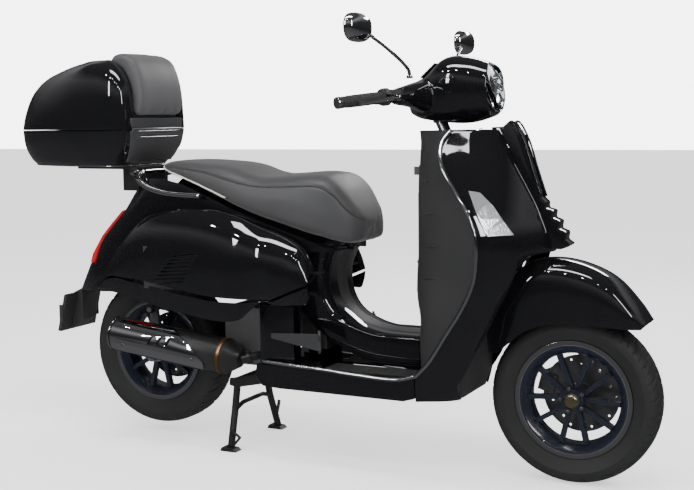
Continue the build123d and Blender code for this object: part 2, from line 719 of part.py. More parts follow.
def horn_cover():
    """The raised centre rib down the shield, with stepped fins at its foot."""
    front = [(626, 985), (650, 1002), (682, 955), (736, 790), (750, 778), (748, 762), (772, 756)]
    front += [(768, 736), (790, 728), (786, 706), (808, 698), (804, 676), (822, 664), (798, 650)]
    back = [(760, 650), (742, 697), (600, 985)]
    return prism_xz(front + back, -HORN_COVER_HW, HORN_COVER_HW) - shield_envelope()


def shield_trim():
    """The bright edging down each side of the leg shield."""
    shapes = []
    for side in (-1, 1):
        points = []
        for z, half in SHIELD_LEVELS[1:]:
            x, y = half[-1]
            points.append((x - 2, side * (y + 8.6), z))
        shapes.append(bent_rod(points, 6))
    return shapes


def front_indicator():
    """One front turn lamp set into the right of the leg shield."""
    outline = [(590, 818), (617, 812), (652, 777), (705, 700), (650, 699)]
    lamp = prism_xz(outline, -240, -150)
    levels = [(z, list(half) + [(300, half[-1][1]), (300, 0)]) for z, half in SHIELD_LEVELS]
    proud = []
    for z, half in levels:
        proud.append([(x, y, z) for x, y in inset(full(half), -5)])
    return (lamp & faceted(proud)) - shield_envelope() - shield_sheet()


def floor_pan():
    """The floor and the tunnel between the rider's feet."""
    side = [(-78, FLOOR_Z), (-84, 262), (-60, 228), (0, FLOOR_BOTTOM_Z), (395, FLOOR_BOTTOM_Z), (428, 234),
            (428, FLOOR_Z)]
    outer = prism_xz(side, -FLOOR_HW, FLOOR_HW)
    inner = prism_xz(inset(side, WALL), -FLOOR_HW + WALL, FLOOR_HW - WALL)
    tunnel = block(152, 438, -TUNNEL_HW, TUNNEL_HW, FLOOR_Z - 1, TUNNEL_TOP_Z)
    tunnel_in = block(152 + WALL, 438 - WALL, -TUNNEL_HW + WALL, TUNNEL_HW - WALL, FLOOR_Z - 10,
                      TUNNEL_TOP_Z - WALL)
    shape = outer - inner
    shape += tunnel
    return shape - tunnel_in


def floor_strips():
    """The ribbed rubber mats and the bright strips along the floor's edges."""
    shapes = []
    for side in (-1, 1):
        for k in range(6):
            y = side * (110 + 15 * k)
            shapes.append(block(142, 425, y - 4, y + 4, FLOOR_Z, FLOOR_Z + 4))
        edge = side * (FLOOR_HW + 5)
        shapes.append(block(-80, 425, edge - 5, edge + 5, FLOOR_Z - 16, FLOOR_Z + 2))
    return shapes


REAR_LEVELS = [
    (FLOOR_Z, ((148, 0), (148, 90), (110, BODY_HW), (-640, BODY_HW), (-760, 110), (-850, 40), (-854, 0))),
    (450, ((146, 0), (146, 90), (110, BODY_HW), (-640, BODY_HW), (-760, 110), (-850, 40), (-854, 0))),
    (540, ((142, 0), (142, 90), (105, BODY_HW), (-640, BODY_HW), (-730, 110), (-806, 40), (-812, 0))),
    (640, ((152, 0), (152, 90), (115, BODY_HW), (-620, BODY_HW), (-690, 110), (-738, 40), (-745, 0))),
    (735, ((152, 0), (152, 90), (115, BODY_HW), (-540, BODY_HW), (-600, 110), (-640, 40), (-646, 0))),
    (900, ((152, 0), (152, 90), (115, BODY_HW), (-430, BODY_HW), (-480, 110), (-500, 40), (-504, 0))),
]
BODY_SIDE = [(160, FLOOR_Z), (160, 630), (58, 664), (-75, 706), (-195, 748), (-365, 818), (-440, 834),
             (-520, 834), (-870, 500), (-870, 452), (-640, 470), (-444, 440), (-284, 416), (-175, 404),
             (-123, 416), (-80, 459), (-80, FLOOR_Z)]


def console_solid():
    """The hollow step beside the engine bay, with lugs for the passenger's footrest."""
    plan = [(-78, BODY_HW - 2), (-78, 172), (-40, 179), (70, 179), (112, 158), (108, BODY_HW - 2)]
    outer = prism_xy(plan, FLOOR_Z, 468)
    inner = prism_xy(inset(plan, WALL), FLOOR_Z - 5, 468 - WALL)
    shape = outer - inner
    x, y = FOOTREST_HINGE
    for z in (FOOTREST_LOW_Z - 8, FOOTREST_TOP_Z + 1):
        lug = prism_xy([(96, 150), (96, 170), (x - 6, y + 7), (x + 7, y + 7), (x + 7, y - 8), (112, 150)], z, z + 7)
        shape += lug
    return shape - rod((x, y, FOOTREST_LOW_Z - 20), (x, y, FOOTREST_TOP_Z + 20), PIN_R)


def rear_body():
    """The steel body under the seat: open above for the bin, and below for wheel and engine."""
    side = prism_xz(BODY_SIDE, -200, 200)
    shell = (stack(REAR_LEVELS) & side) - stack(spread(REAR_LEVELS, 920, 280), WALL)
    bay = [(-640, 380), (-640, 560), (-560, 610), (-90, 610), (-60, 560), (-60, 380)]
    shell -= prism_xz(bay, -200, 200)
    for side_sign in (-1, 1):
        ear = block(-86, -44, 115, BODY_HW - 1, SWING_Z - 16, SWING_Z + 30)
        ear -= pin_y(SWING_X, SWING_Z, SWING_PIN_R, 100, 150)
        shell += ear if side_sign > 0 else mirrored(ear)
        console = console_solid()
        shell += console if side_sign > 0 else mirrored(console)
    for side_sign in (-1, 1):
        for y in (-46.0, 36.0):
            lug = block(150, SEAT_HINGE[0] + 7, y, y + 10, SEAT_HINGE[1] - 24, SEAT_HINGE[1] + 7)
            shell += lug - pin_y(SEAT_HINGE[0], SEAT_HINGE[1], PIN_R, -60, 60)
        x, z = SHOCK_TOP
        y = side_sign * SHOCK_Y
        post = pin_y(x, z, 8, min(y - side_sign * 8, side_sign * BODY_HW), max(y - side_sign * 8,
                                                                           side_sign * BODY_HW))
        shell += post
    return shell


COWL_OUTLINE = [
    (-697, 478), (-672, 526), (-622, 592), (-572, 656), (-500, 720), (-430, 742), (-350, 752),
    (-270, 756), (-205, 748), (-150, 734), (-81, 710), (12, 680), (62, 650), (92, 600), (100, 540), (88, 474),
    (-20, 470), (-44, 488), (-82, 458), (-123, 417), (-175, 405), (-284, 416), (-444, 440), (-583, 467),
]


COWL_PLAN = [
    (-700, 152), (-583, 190), (-444, 215), (-300, 232), (-150, 239), (-30, 237), (60, 225), (106, 200),
    (106, 120), (-700, 120),
]
COWL_FRONT = [
    (120, 400), (210, 400), (232, 470), (240, 560), (238, 640), (226, 700), (200, 745), (150, 776), (120, 780),
]


def cowl_solid(distance, y_start):
    """The bulging form of a side cowl, or the same one a wall thickness smaller."""
    side = prism_xz(inset(COWL_OUTLINE, distance), y_start, 260)
    plan = prism_xy(inset(COWL_PLAN, distance), 380, 800)
    across = [Vector(-720, y, z) for y, z in inset(COWL_FRONT, distance)]
    front = Solid.extrude(Face(Wire.make_polygon(across, close=True)), Vector(860, 0, 0))
    return side & plan & front


def side_cowl(side):
    """A pressed side cowl over the engine bay, open inward and below, with louvres."""
    shell = cowl_solid(0.0, BODY_HW + 0.2) - cowl_solid(WALL, BODY_HW - 5.0)
    mouth = [(-640, 474), (-583, 480), (-444, 452), (-284, 428), (-175, 417), (-123, 428), (-86, 470),
             (-60, 492), (-60, 380), (-640, 380)]
    shell -= prism_xz(mouth, 100, 190)
    for k in range(LOUVRES):
        z = 608 - 12 * k
        x0 = -346 - 13 * k
        shell -= block(x0, x0 + 92 + 4 * k, 200, 260, z - 2.5, z + 2.5)
    return shell if side > 0 else mirrored(shell)


def helmet_bin():
    """The moulded bin under the seat, open at the top."""
    outline = [(-372, 800), (-372, 640), (30, 600), (30, 660), (-75, 700), (-195, 742)]
    half = BODY_HW - WALL - SEAT_GAP
    outer = prism_xz(outline, -half, half)
    inner = prism_xz([(-368, 830), (-368, 644), (26, 604), (26, 700)], WALL - half, half - WALL)
    return outer - inner


def fuel_tank():
    """The tank ahead of the bin, with its filler neck and cap."""
    tank = block(60, 132, -84, 84, 330, 600)
    tank += rod((85, 0, 598), (85, 0, 628), 24)
    tank += rod((85, 0, 628), (85, 0, 640), 28)
    inside = stack(spread(REAR_LEVELS, 920, 280), WALL + SEAT_GAP)
    tank += block(76, 104, -150, 150, 560, 566) & inside
    return tank


def tail_lamp():
    """The tail lamp wrapped round the rear of the body."""
    outline = [(-600, 738), (-668, 716), (-716, 668), (-762, 600), (-776, 552), (-740, 552)]
    lamp = prism_xz(outline, -78, 78)
    proud = stack([(z, [(x + (-9 if x < -500 else 0), y + (6 if y else 0)) for x, y in half])
                   for z, half in REAR_LEVELS])
    return (lamp & proud) - stack(REAR_LEVELS)


def plate_holder():
    """The arm, number plate backing and side reflectors behind the wheel."""
    arm = prism_xz([(-700, 474), (-854, 455), (-885, 440), (-905, 330), (-893, 318), (-800, 392),
                    (-700, 440)], -34, 34)
    arm -= stack(REAR_LEVELS)
    arm -= block(-760, -650, -40, 40, 440, 480)
    plate = prism_xz([(-868, 442), (-880, 440), (-912, 316), (-900, 314)], -92, 92)
    shape = arm + plate
    reflectors = [block(-900, -886, -96, -92.2, 345, 405), block(-900, -886, 92.2, 96, 345, 405)]
    return [shape] + reflectors


def grab_rail():
    """The bright rail round the seat's tail, with lugs on the body's sides."""
    side = [(-285, 160, 784), (-420, 158, 792), (-500, 153, 814), (-548, 122, 840), (-568, 70, 850)]
    points = side + [(x, -y, z) for x, y, z in reversed(side)]
    rail = bent_rod(points, 9)
    for sign in (-1, 1):
        rail += Pos(side[0][0], sign * side[0][1], side[0][2]) * Sphere(9)
        rail += rod((-292, sign * (BODY_HW + SEAT_GAP), 775), (-292, sign * 156, 775), 7)
    return rail


def carrier():
    """The flat rack that the top case bolts to, on two arms from the grab rail's mounts."""
    plate = block(-800, -560, -95, 95, CASE_BOTTOM_Z - 8, CASE_BOTTOM_Z)
    for x in (-760, -690, -620):
        plate -= block(x - 22, x + 22, -80, 80, CASE_BOTTOM_Z - 10, CASE_BOTTOM_Z + 2)
    for side in (-1, 1):
        plate += block(-640, -560, side * 60 - 8, side * 60 + 8, 790, CASE_BOTTOM_Z - 6)
        plate += block(-640, -470, side * 60 - 8, side * 60 + 8, 790, 812)
    body = stack(spread(REAR_LEVELS, 920, 280)) & prism_xz(BODY_SIDE, -200, 200)
    plate -= grab_rail() + body
    return plate


# ---- top case ---------------------------------------------------------------
CASE_BASE_LEVELS = [
    (CASE_BOTTOM_Z, ((-599, 0), (-599, 103), (-615, 127), (-666, 140), (-803, 130), (-954, 86), (-1012, 44),
                     (-1025, 0))),
    (888, ((-587, 0), (-587, 118), (-607, 145), (-681, 159), (-814, 147), (-967, 101), (-1030, 48),
           (-1042, 0))),
    (930, ((-559, 0), (-559, 145), (-584, 170), (-690, 180), (-830, 162), (-986, 109), (-1054, 51),
           (-1065, 0))),
    (CASE_SPLIT_Z, ((-549, 0), (-549, 156), (-574, 181), (-691, 187), (-843, 166), (-1000, 109), (-1062, 51),
                    (-1071, 0))),
]
CASE_LID_LEVELS = [
    (CASE_SPLIT_Z + GAP, ((-549, 0), (-549, 156), (-574, 181), (-691, 187), (-843, 166), (-1000, 109),
                          (-1062, 51), (-1071, 0))),
    (1030, ((-551, 0), (-551, 156), (-575, 182), (-691, 187), (-843, 165), (-983, 105), (-1055, 49),
            (-1067, 0))),
    (1100, ((-556, 0), (-556, 154), (-580, 180), (-691, 182), (-826, 154), (-934, 103), (-1021, 47),
            (-1037, 0))),
    (1150, ((-574, 0), (-574, 149), (-597, 170), (-691, 170), (-797, 142), (-884, 98), (-963, 46),
            (-978, 0))),
    (1188, ((-603, 0), (-603, 131), (-623, 149), (-691, 147), (-756, 124), (-818, 88), (-870, 40),
            (-882, 0))),
    (1208, ((-636, 0), (-636, 96), (-648, 110), (-691, 109), (-727, 91), (-764, 65), (-797, 32),
            (-804, 0))),
]
CASE_LUGS = (-140, -60, 40, 120)
LID_LEAVES = (-119, -39, 61, 99)
PAD_SIDE = [(-542, 1028), (-528, 1050), (-526, 1100), (-537, 1160), (-563, 1206), (-606, 1226), (-634, 1222),
            (-648, 1205), (-606, 1185), (-577, 1140), (-563, 1090), (-561, 1028)]


def pad_block(grow, hw):
    """The backrest cushion's block, or the recess that it sits in."""
    return prism_xz(inset(PAD_SIDE, -grow), -hw, hw)


def top_case_base():
    """The lower half of the top case, with its floor, and lugs for the lid's hinge."""
    levels = CASE_BASE_LEVELS
    inner_levels = [(CASE_BOTTOM_Z + WALL, levels[0][1])] + levels[1:-1] + [(CASE_SPLIT_Z + 5, levels[-1][1])]
    shell = stack(levels) - stack(inner_levels, WALL)
    x, z = LID_HINGE
    for y in CASE_LUGS:
        lug = block(x - 8, x + 6, y, y + 20, z - 22, z + 6)
        shell += lug - pin_y(x, z, 3, -200, 200)
    return shell


def top_case_lid():
    """The domed upper half of the top case, recessed for the backrest."""
    levels = CASE_LID_LEVELS
    inner_levels = [(CASE_SPLIT_Z - 5, levels[0][1])] + levels[1:-1] + [(1208 - WALL, levels[-1][1])]
    outer = stack(levels) - pad_block(GAP, PAD_HW + GAP)
    inner = stack(inner_levels, WALL) - pad_block(GAP + WALL, PAD_HW + GAP + WALL)
    shell = outer - inner
    x, z = LID_HINGE
    for y in CASE_LUGS:
        shell -= block(x - 14, x + 10, y - 0.5, y + 20.5, z - 10, z + 11)
    for y in LID_LEAVES:
        leaf = block(x - 9, x + 6, y, y + 18, z - 2, z + 14)
        shell += leaf - pin_y(x, z, 3 + FIT, -200, 200)
    return shell


# ---- seat -------------------------------------------------------------------
SEAT_STATIONS = [
    (-482, 70, 866, 874), (-455, 112, 852, 884), (-389, 142, 838, 889), (-300, 158, 805, 884),
    (-200, 166, 764, 872), (-81, 172, 722, 846), (20, 172, 692, 850), (98, 164, 672, 851),
    (160, 146, 656, 806), (200, 112, 652, 750), (224, 70, 664, 712),
]


def seat_cushion():
    """The two-level seat cushion."""
    rings = []
    for x, hw, low, high in SEAT_STATIONS:
        mid = low + (high - low) * 0.45
        ring = [(-hw, low + 1), (-hw * 0.99, mid), (-hw * 0.82, high - (high - low) * 0.1)]
        ring += [(-hw * 0.5, high), (hw * 0.5, high), (hw * 0.82, high - (high - low) * 0.1)]
        ring += [(hw * 0.99, mid), (hw, low + 1)]
        rings.append([(x, y, z) for y, z in ring])
    cushion = faceted_strip(rings)
    base_cut = [(-470, 880), (-470, 862), (-389, 836), (-300, 806), (-200, 768), (-81, 728), (20, 698), (98, 680),
                (150, 669), (150, 630), (182, 630), (182, 690), (98, 700), (-81, 748), (-200, 790), (-389, 856)]
    return cushion - prism_xz(base_cut, -118, 118)


def seat_base():
    """The seat's stiff pan, with its hinge leaf at the nose."""
    under = [(-440, 858), (-380, 842), (-300, 810), (-200, 771), (-81, 731), (20, 701), (98, 683), (172, 667),
             (172, 680), (98, 697), (-81, 745), (-200, 787), (-380, 852)]
    pan = prism_xz(under, -116, 116)
    x, z = SEAT_HINGE
    for y in (-34.0, 16.0):
        leaf = block(x - 7, x + 7, y, y + 18, z, 672) + pin_y(x, z, 8, y, y + 18)
        pan += leaf - pin_y(x, z, PIN_R + FIT, -60, 60)
    return pan


# ---- engine unit ------------------------------------------------------------
def engine_case():
    """The crankcase, the cylinder and the right-hand arm that carry the rear wheel."""
    case = block(-250, -100, -92, 72, 262, 440)
    case += block(-100, 12, -62, 50, 336, 430)
    for k in range(5):
        case += block(-88 + 20 * k, -78 + 20 * k, -70, 58, 328, 438)
    case += block(-100, SWING_X - 12, -34, 50, SWING_Z - 18, SWING_Z + 14)
    case += pin_y(SWING_X, SWING_Z, 20, -34, 50)
    case -= pin_y(SWING_X, SWING_Z, SWING_PIN_R + FIT, -140, 140)
    arm = [(-240, 270), (-240, 330), (-520, 300), (-575, 272), (-540, 240)]
    case += prism_xz(arm, -90, -74)
    case += block(-250, -230, -90, -60, 270, 330)
    x, z = SHOCK_LOW
    case += prism_xz([(-545, 280), (-495, 300), (x + 12, z + 13), (x - 12, z + 13)], -90, -78)
    case += pin_y(x, z, 8, -SHOCK_Y - 8, -78)
    case -= pin_y(REAR_AXLE_X, REAR_AXLE_Z, AXLE_R + FIT, -95, -70)
    return case


def transmission_cover():
    """The long casing of the belt drive on the left, with the rear axle."""
    outline = [(-240, 262), (-220, 250), (-120, 254), (-104, 300), (-104, 400), (-150, 430), (-330, 400),
               (-560, 356), (-616, 310), (-620, 262), (-590, 218), (-540, 206), (-400, 232)]
    cover = prism_xz(outline, 74, 118)
    ribs = prism_xz(inset(outline, 18), 118, 126)
    cover += ribs
    for x in (-180, -540):
        cover += pin_y(x, 330 if x > -300 else 275, 40, 126, 131)
    cover += pin_y(REAR_AXLE_X, REAR_AXLE_Z, AXLE_R, -104, 76)
    cover += pin_y(REAR_AXLE_X, REAR_AXLE_Z, 18, -104, -90.4)
    cover += pin_y(REAR_AXLE_X, REAR_AXLE_Z, 20, DISC_Y + DISC_T + GAP + 2, 76)
    cover += pin_y(-150, 350, 16, 72, 75)
    x, z = SHOCK_LOW
    cover += prism_xz([(-560, 345), (-480, 360), (x + 12, z + 13), (x - 12, z + 13)], 78, 92)
    cover += pin_y(x, z, 8, 78, SHOCK_Y + 8)
    return cover


def muffler():
    """The exhaust: header pipe, clamp and silencer on the right."""
    front = (-205, MUFFLER_Y, 296)
    rear = (-612, MUFFLER_Y, 338)
    can = rod(front, rear, MUFFLER_R)
    nose = Plane(origin=front, z_dir=Vector(*front) - Vector(*rear))
    can += nose * Cone(MUFFLER_R, 26, 46, align=(Align.CENTER, Align.CENTER, Align.MIN))
    tip = (-158, MUFFLER_Y, 291)
    can += bent_rod([tip, (-118, -132, 301.5), (-75, -88, 306.5), (-34, -52, 317), (-24, -40, 327.5)], 13)
    can += rod((-142, MUFFLER_Y + 8, 295), (-130, MUFFLER_Y + 13, 298), 19)
    can -= block(-60, 20, -70, 20, 327.9, 420)
    can += block(-320, -300, -99, -90.2, 286, 304)
    can += rod((-606, MUFFLER_Y - 18, 352), (-626, MUFFLER_Y - 18, 355), 14)
    return can


def heat_shield():
    """The bright guard bent round the outside of the silencer, with slots and screws."""
    front = (-262, MUFFLER_Y, 302)
    rear = (-606, MUFFLER_Y, 338)
    sleeve = pipe(front, rear, MUFFLER_R + 5, MUFFLER_R + 2)
    cut = [(-612, 300), (-612, 372), (-545, 402), (-412, 384), (-318, 336), (-258, 278), (-285, 250),
           (-358, 246), (-491, 276), (-598, 296)]
    guard = sleeve & prism_xz(cut, -230, MUFFLER_Y - 16)
    for k in range(3):
        x = -455 + 34 * k
        guard -= Plane(origin=(x, -230, 336), z_dir=(0, 1, 0)) * (Rot(0, 0, 28) * Box(30, 7, 90))
    for x, z in ((-560, 372), (-300, 290), (-560, 316)):
        reach = z - (338 - 36 * (x + 606) / 344)
        depth = (MUFFLER_R ** 2 - reach ** 2) ** 0.5
        guard += pin_y(x, z, 5, MUFFLER_Y - depth - 9, MUFFLER_Y - depth + 4)
    return guard - muffler()


def rear_shock(side):
    """One rear damper with its coil spring."""
    return shock((SHOCK_LOW[0], side * SHOCK_Y, SHOCK_LOW[1]), (SHOCK_TOP[0], side * SHOCK_Y, SHOCK_TOP[1]),
                 8.3, 21)


# ---- stand and footrests ----------------------------------------------------
def stand_bracket():
    """The pressed bracket that hangs the centre stand under the floor's rear end."""
    plate = [(0, 224), (-60, 228), (-84, 262), (-90, 262), (-112, 240), (STAND_X - 14, STAND_Z + 13),
             (STAND_X - 16, STAND_Z - 9), (STAND_X + 10, STAND_Z - 14), (-100, 212), (0, 216)]
    tie = prism_xz([(0, 224), (-60, 228), (-60, 220), (0, 216)], -STAND_EAR_Y, STAND_EAR_Y)
    for side in (-1, 1):
        ear = prism_xz(plate, STAND_EAR_Y - 6, STAND_EAR_Y)
        tie += ear if side > 0 else mirrored(ear)
    return tie + pin_y(STAND_X, STAND_Z, 7, 2 - STAND_EAR_Y, STAND_EAR_Y - 2)


def centre_stand():
    """Two splayed legs with feet, an arched brace and a tread for the rider's foot."""
    shape = pipe((STAND_X, -100, STAND_Z), (STAND_X, 100, STAND_Z), 13, 7 + FIT)
    for side in (-1, 1):
        knee = (STAND_X + 2, side * 108, 120)
        foot = (STAND_X + 8, side * STAND_FOOT_Y, 14)
        shape += bent_rod([(STAND_X, side * 88, STAND_Z - 8), knee, foot], STAND_TUBE_R)
        pad = prism_xz([(STAND_X - 22, 0), (STAND_X + 34, 0), (STAND_X + 24, 9), (STAND_X - 18, 11)],
                       side * STAND_FOOT_Y - 18, side * STAND_FOOT_Y + 18)
        shape += pad + rod((STAND_X + 8, side * STAND_FOOT_Y, 4), foot, STAND_TUBE_R)
    arch = [(STAND_X + 2, -106, 120), (STAND_X + 2, -60, 133), (STAND_X + 2, 60, 133), (STAND_X + 2, 106, 120)]
    shape += bent_rod(arch, 7)
    tread = [(STAND_X + 6, STAND_FOOT_Y - 6, 40), (STAND_X - 10, STAND_FOOT_Y + 40, 70),
             (STAND_X - 20, STAND_FOOT_Y + 60, 74)]
    shape += bent_rod(tread, 5.5)
    prop = [(STAND_X + 6, -STAND_FOOT_Y + 6, 62), (STAND_X + 40, -STAND_FOOT_Y, 44),
            (STAND_X + 12, -STAND_FOOT_Y, 12)]
    shape += bent_rod(prop, 4)
    return shape - pin_y(STAND_X, STAND_Z, 7 + FIT, -101, 101)


def footrest(side):
    """A folding passenger footrest, stowed flat against the body."""
    x, y = FOOTREST_HINGE
    outline = [(-28, 388), (-28, 373), (x, FOOTREST_LOW_Z), (x, FOOTREST_TOP_Z)]
    rest = prism_xz(outline, 180.2, 194)
    rest += rod((x, y, FOOTREST_LOW_Z), (x, y, FOOTREST_TOP_Z), 7.5)
    rest -= rod((x, y, FOOTREST_LOW_Z - 5), (x, y, FOOTREST_TOP_Z + 5), PIN_R + FIT)
    return rest if side > 0 else mirrored(rest)


# ---- small fixed parts ------------------------------------------------------
def head_tube():
    """The steering head: a tube in the shield, with webs to the steel behind the horn cover."""
    low = axis_point(HEAD_TUBE_LOW_Z)
    top = axis_point(HEAD_TUBE_TOP_Z)
    tube = pipe(low, top, HEAD_TUBE_R, HEAD_TUBE_R - 4)
    web = prism_xz([(586, 700), (775, 706), (655, 945), (468, 945)], -3, 3)
    web = web & shield_core()
    web -= rod(axis_point(HEAD_TUBE_LOW_Z - 50), axis_point(HEAD_TUBE_TOP_Z + 50), HEAD_TUBE_R - 2)
    return tube + web


def shield_core():
    """The space just inside the leg shield's steel."""
    rings = []
    for z, half in SHIELD_LEVELS:
        closed = full(list(half) + [(300, half[-1][1]), (300, 0)])
        rings.append([(x, y, z) for x, y in inset(closed, WALL + 0.6)])
    return faceted(rings)


def head_bearings():
    """The two bearings between the steering stem and the head tube."""
    shapes = []
    for z in (HEAD_TUBE_LOW_Z + 4, HEAD_TUBE_TOP_Z - 16):
        shapes.append(pipe(axis_point(z), axis_point(z + 12), HEAD_TUBE_R - 4, STEM_R + FIT))
    return shapes


def radiators():
    """The two coolant radiators, one each side behind the shield."""
    return both(block(519, 547, 97, 150, 470, 590))


def battery():
    """The battery, hung under the roof of the floor's tunnel."""
    return block(220, 370, -38, 38, 300, TUNNEL_TOP_Z - WALL - SEAT_GAP)


def dash_panel():
    """The instrument pod on top of the headset, facing the rider."""
    corners = [(392, 1119), (436, 1158), (430, 1166), (386, 1127)]
    outer = faceted([section_yz(*s) for s in HEADSET_STATIONS])
    return prism_xz(corners, -40, 40) - outer


def push_button(side, y, z, clearance=0.0, travel=0.0):
    """A round push button, or with a clearance and a travel the hole that it sinks into."""
    inner = POD_FACE_X + 6 + clearance + travel
    return rod((POD_FACE_X - 7, side * y, z), (inner, side * y, z), 5 + clearance)


def slide_switch(clearance=0.0, travel=0.0):
    """The turn signal slider, or with a clearance and a travel the slot that it runs in."""
    across = 5 + clearance + travel
    high = 4 + clearance
    return block(POD_FACE_X - 7, POD_FACE_X + 6 + clearance, TURN_Y - across, TURN_Y + across, TURN_Z - high,
                 TURN_Z + high)


def ignition_key():
    """The lock barrel and key in the knee panel."""
    barrel = rod((372, 0, 860), (391.7, 0, 860), 11)
    return barrel + block(350, 373, -2, 2, 848, 872)


def side_pins():
    """The hinge pins of the seat, the lid, the glovebox and the footrests."""
    shapes = [pin_y(SEAT_HINGE[0], SEAT_HINGE[1], PIN_R, -46, 46)]
    shapes.append(pin_y(LID_HINGE[0], LID_HINGE[1], 3, CASE_LUGS[0], CASE_LUGS[-1] + 20))
    shapes.append(pin_y(GLOVE_HINGE[0], GLOVE_HINGE[1], 2, -79, 79))
    shapes.append(pin_y(SWING_X, SWING_Z, SWING_PIN_R, -BODY_HW + 4, BODY_HW - 4))
    x, y = FOOTREST_HINGE
    shapes += both(rod((x, y, FOOTREST_LOW_Z - 8), (x, y, FOOTREST_TOP_Z + 8), PIN_R))
    return shapes


NODES = {}


def keep(name, shapes):
    """Note one sub-part, made of one solid or of several separate ones."""
    NODES[name] = list(shapes) if isinstance(shapes, (list, tuple)) else [shapes]


keep("front_rim", wheel_rim(FRONT_AXLE_X, FRONT_AXLE_Z, FRONT_RIM_HW, FRONT_TYRE_HW))
keep("front_tyre", wheel_tyre(FRONT_AXLE_X, FRONT_AXLE_Z, FRONT_TYRE_R, FRONT_TYRE_HW, FRONT_RIM_HW))
keep("front_disc", brake_disc(FRONT_AXLE_X, FRONT_AXLE_Z, DISC_Y))
keep("rear_rim", [wheel_rim(REAR_AXLE_X, REAR_AXLE_Z, REAR_RIM_HW, REAR_TYRE_HW),
                  brake_disc(REAR_AXLE_X, REAR_AXLE_Z, DISC_Y + 2)])
keep("rear_tyre", wheel_tyre(REAR_AXLE_X, REAR_AXLE_Z, REAR_TYRE_R, REAR_TYRE_HW, REAR_RIM_HW))
keep("steering_stem", steering_stem())
keep("front_link", front_link())
keep("front_shock", front_shock())
keep("front_caliper", brake_caliper(FRONT_AXLE_X, FRONT_AXLE_Z, CALIPER_ANGLE, DISC_Y))
keep("front_fender", front_fender())
keep("headset_cover", headset_cover())
keep("headlamp", headlamp())
keep("handlebar", handlebar())
keep("throttle_grip", grip(-1))
keep("left_grip", grip(1))
keep("right_lever", brake_lever(-1))
keep("left_lever", brake_lever(1))
keep("switch_pods", switch_pods())
keep("right_mirror", mirror_arm(-1))
keep("left_mirror", mirror_arm(1))
keep("dash_panel", dash_panel())
keep("starter_button", push_button(-1, START_Y, START_Z))
keep("horn_button", push_button(1, HORN_Y, HORN_Z))
keep("turn_switch", slide_switch())
keep("front_shield", front_shield())
keep("inner_shield", inner_shield())
keep("glovebox_door", glovebox_door())
keep("ignition_key", ignition_key())
keep("horn_cover", horn_cover())
keep("shield_trim", shield_trim())
keep("front_indicators", both(front_indicator()))
keep("floor_pan", floor_pan())
keep("floor_strips", floor_strips())
keep("head_tube", [head_tube()] + head_bearings())
keep("stand_bracket", stand_bracket())
keep("radiators", radiators())
keep("battery", battery())
keep("rear_body", rear_body())
keep("right_cowl", side_cowl(-1))
keep("left_cowl", side_cowl(1))
keep("helmet_bin", helmet_bin())
keep("fuel_tank", fuel_tank())
keep("tail_lamp", tail_lamp())
keep("plate_holder", plate_holder())
keep("grab_rail", grab_rail())
keep("carrier", carrier())
keep("top_case_base", top_case_base())
keep("top_case_lid", top_case_lid())
keep("backrest_pad", pad_block(0.0, PAD_HW))
keep("seat_cushion", seat_cushion())
keep("seat_base", seat_base())
keep("hinge_pins", side_pins())
keep("engine_case", engine_case())
keep("transmission_cover", transmission_cover())
keep("muffler", muffler())
keep("heat_shield", heat_shield())
keep("rear_shocks", [rear_shock(-1), rear_shock(1)])
keep("centre_stand", centre_stand())
keep("right_footrest", footrest(-1))
keep("left_footrest", footrest(1))

os.makedirs("parts", exist_ok=True)
for node_name, node_shapes in NODES.items():
    solids = []
    for shape in node_shapes:
        solids += list(shape.solids())
    whole = solids[0] if len(solids) == 1 else Compound(children=solids)
    export_step(whole, f"parts/{node_name}.step")
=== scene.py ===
import bpy
import bmesh
import numpy as np
from math import atan2, cos, hypot, pi, radians, sin
from mathutils import Matrix, Vector


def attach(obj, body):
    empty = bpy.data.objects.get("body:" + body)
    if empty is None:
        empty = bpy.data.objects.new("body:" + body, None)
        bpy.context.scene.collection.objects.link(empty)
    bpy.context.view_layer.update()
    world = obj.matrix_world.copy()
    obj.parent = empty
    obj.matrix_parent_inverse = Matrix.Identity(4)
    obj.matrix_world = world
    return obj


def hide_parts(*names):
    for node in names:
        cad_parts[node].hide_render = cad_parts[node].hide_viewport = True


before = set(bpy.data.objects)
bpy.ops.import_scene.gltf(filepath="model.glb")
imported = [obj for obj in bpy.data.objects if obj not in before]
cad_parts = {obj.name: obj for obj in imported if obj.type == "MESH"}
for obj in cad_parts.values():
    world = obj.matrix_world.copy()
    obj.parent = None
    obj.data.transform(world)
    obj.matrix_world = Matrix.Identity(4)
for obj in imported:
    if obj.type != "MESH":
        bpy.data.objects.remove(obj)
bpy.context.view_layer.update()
MM = 0.001

# ---- camera ------------------------------------------------------------------
# A tripod camera at chest height, a little ahead of the rider's right side.
CAMERA_PLACE = Vector((1.6765, -3.1365, 1.0176))
CAMERA_TURN = radians(26.26)
CAMERA_RISE = radians(6.25)
CAMERA_ROLL = radians(-0.69)
back = Vector((sin(CAMERA_TURN) * cos(CAMERA_RISE), -cos(CAMERA_TURN) * cos(CAMERA_RISE), sin(CAMERA_RISE)))
level = Vector((cos(CAMERA_TURN), sin(CAMERA_TURN), 0))
upward = level.cross(-back)
right = level * cos(CAMERA_ROLL) + upward * sin(CAMERA_ROLL)
upward = upward * cos(CAMERA_ROLL) - level * sin(CAMERA_ROLL)
lens = bpy.data.cameras.new("camera")
lens.lens = 60.67
lens.sensor_width = 36
lens.clip_start = 0.05
camera = bpy.data.objects.new("camera", lens)
bpy.context.scene.collection.objects.link(camera)
camera.matrix_world = Matrix((right, upward, back)).transposed().to_4x4()
camera.location = CAMERA_PLACE
bpy.context.scene.camera = camera

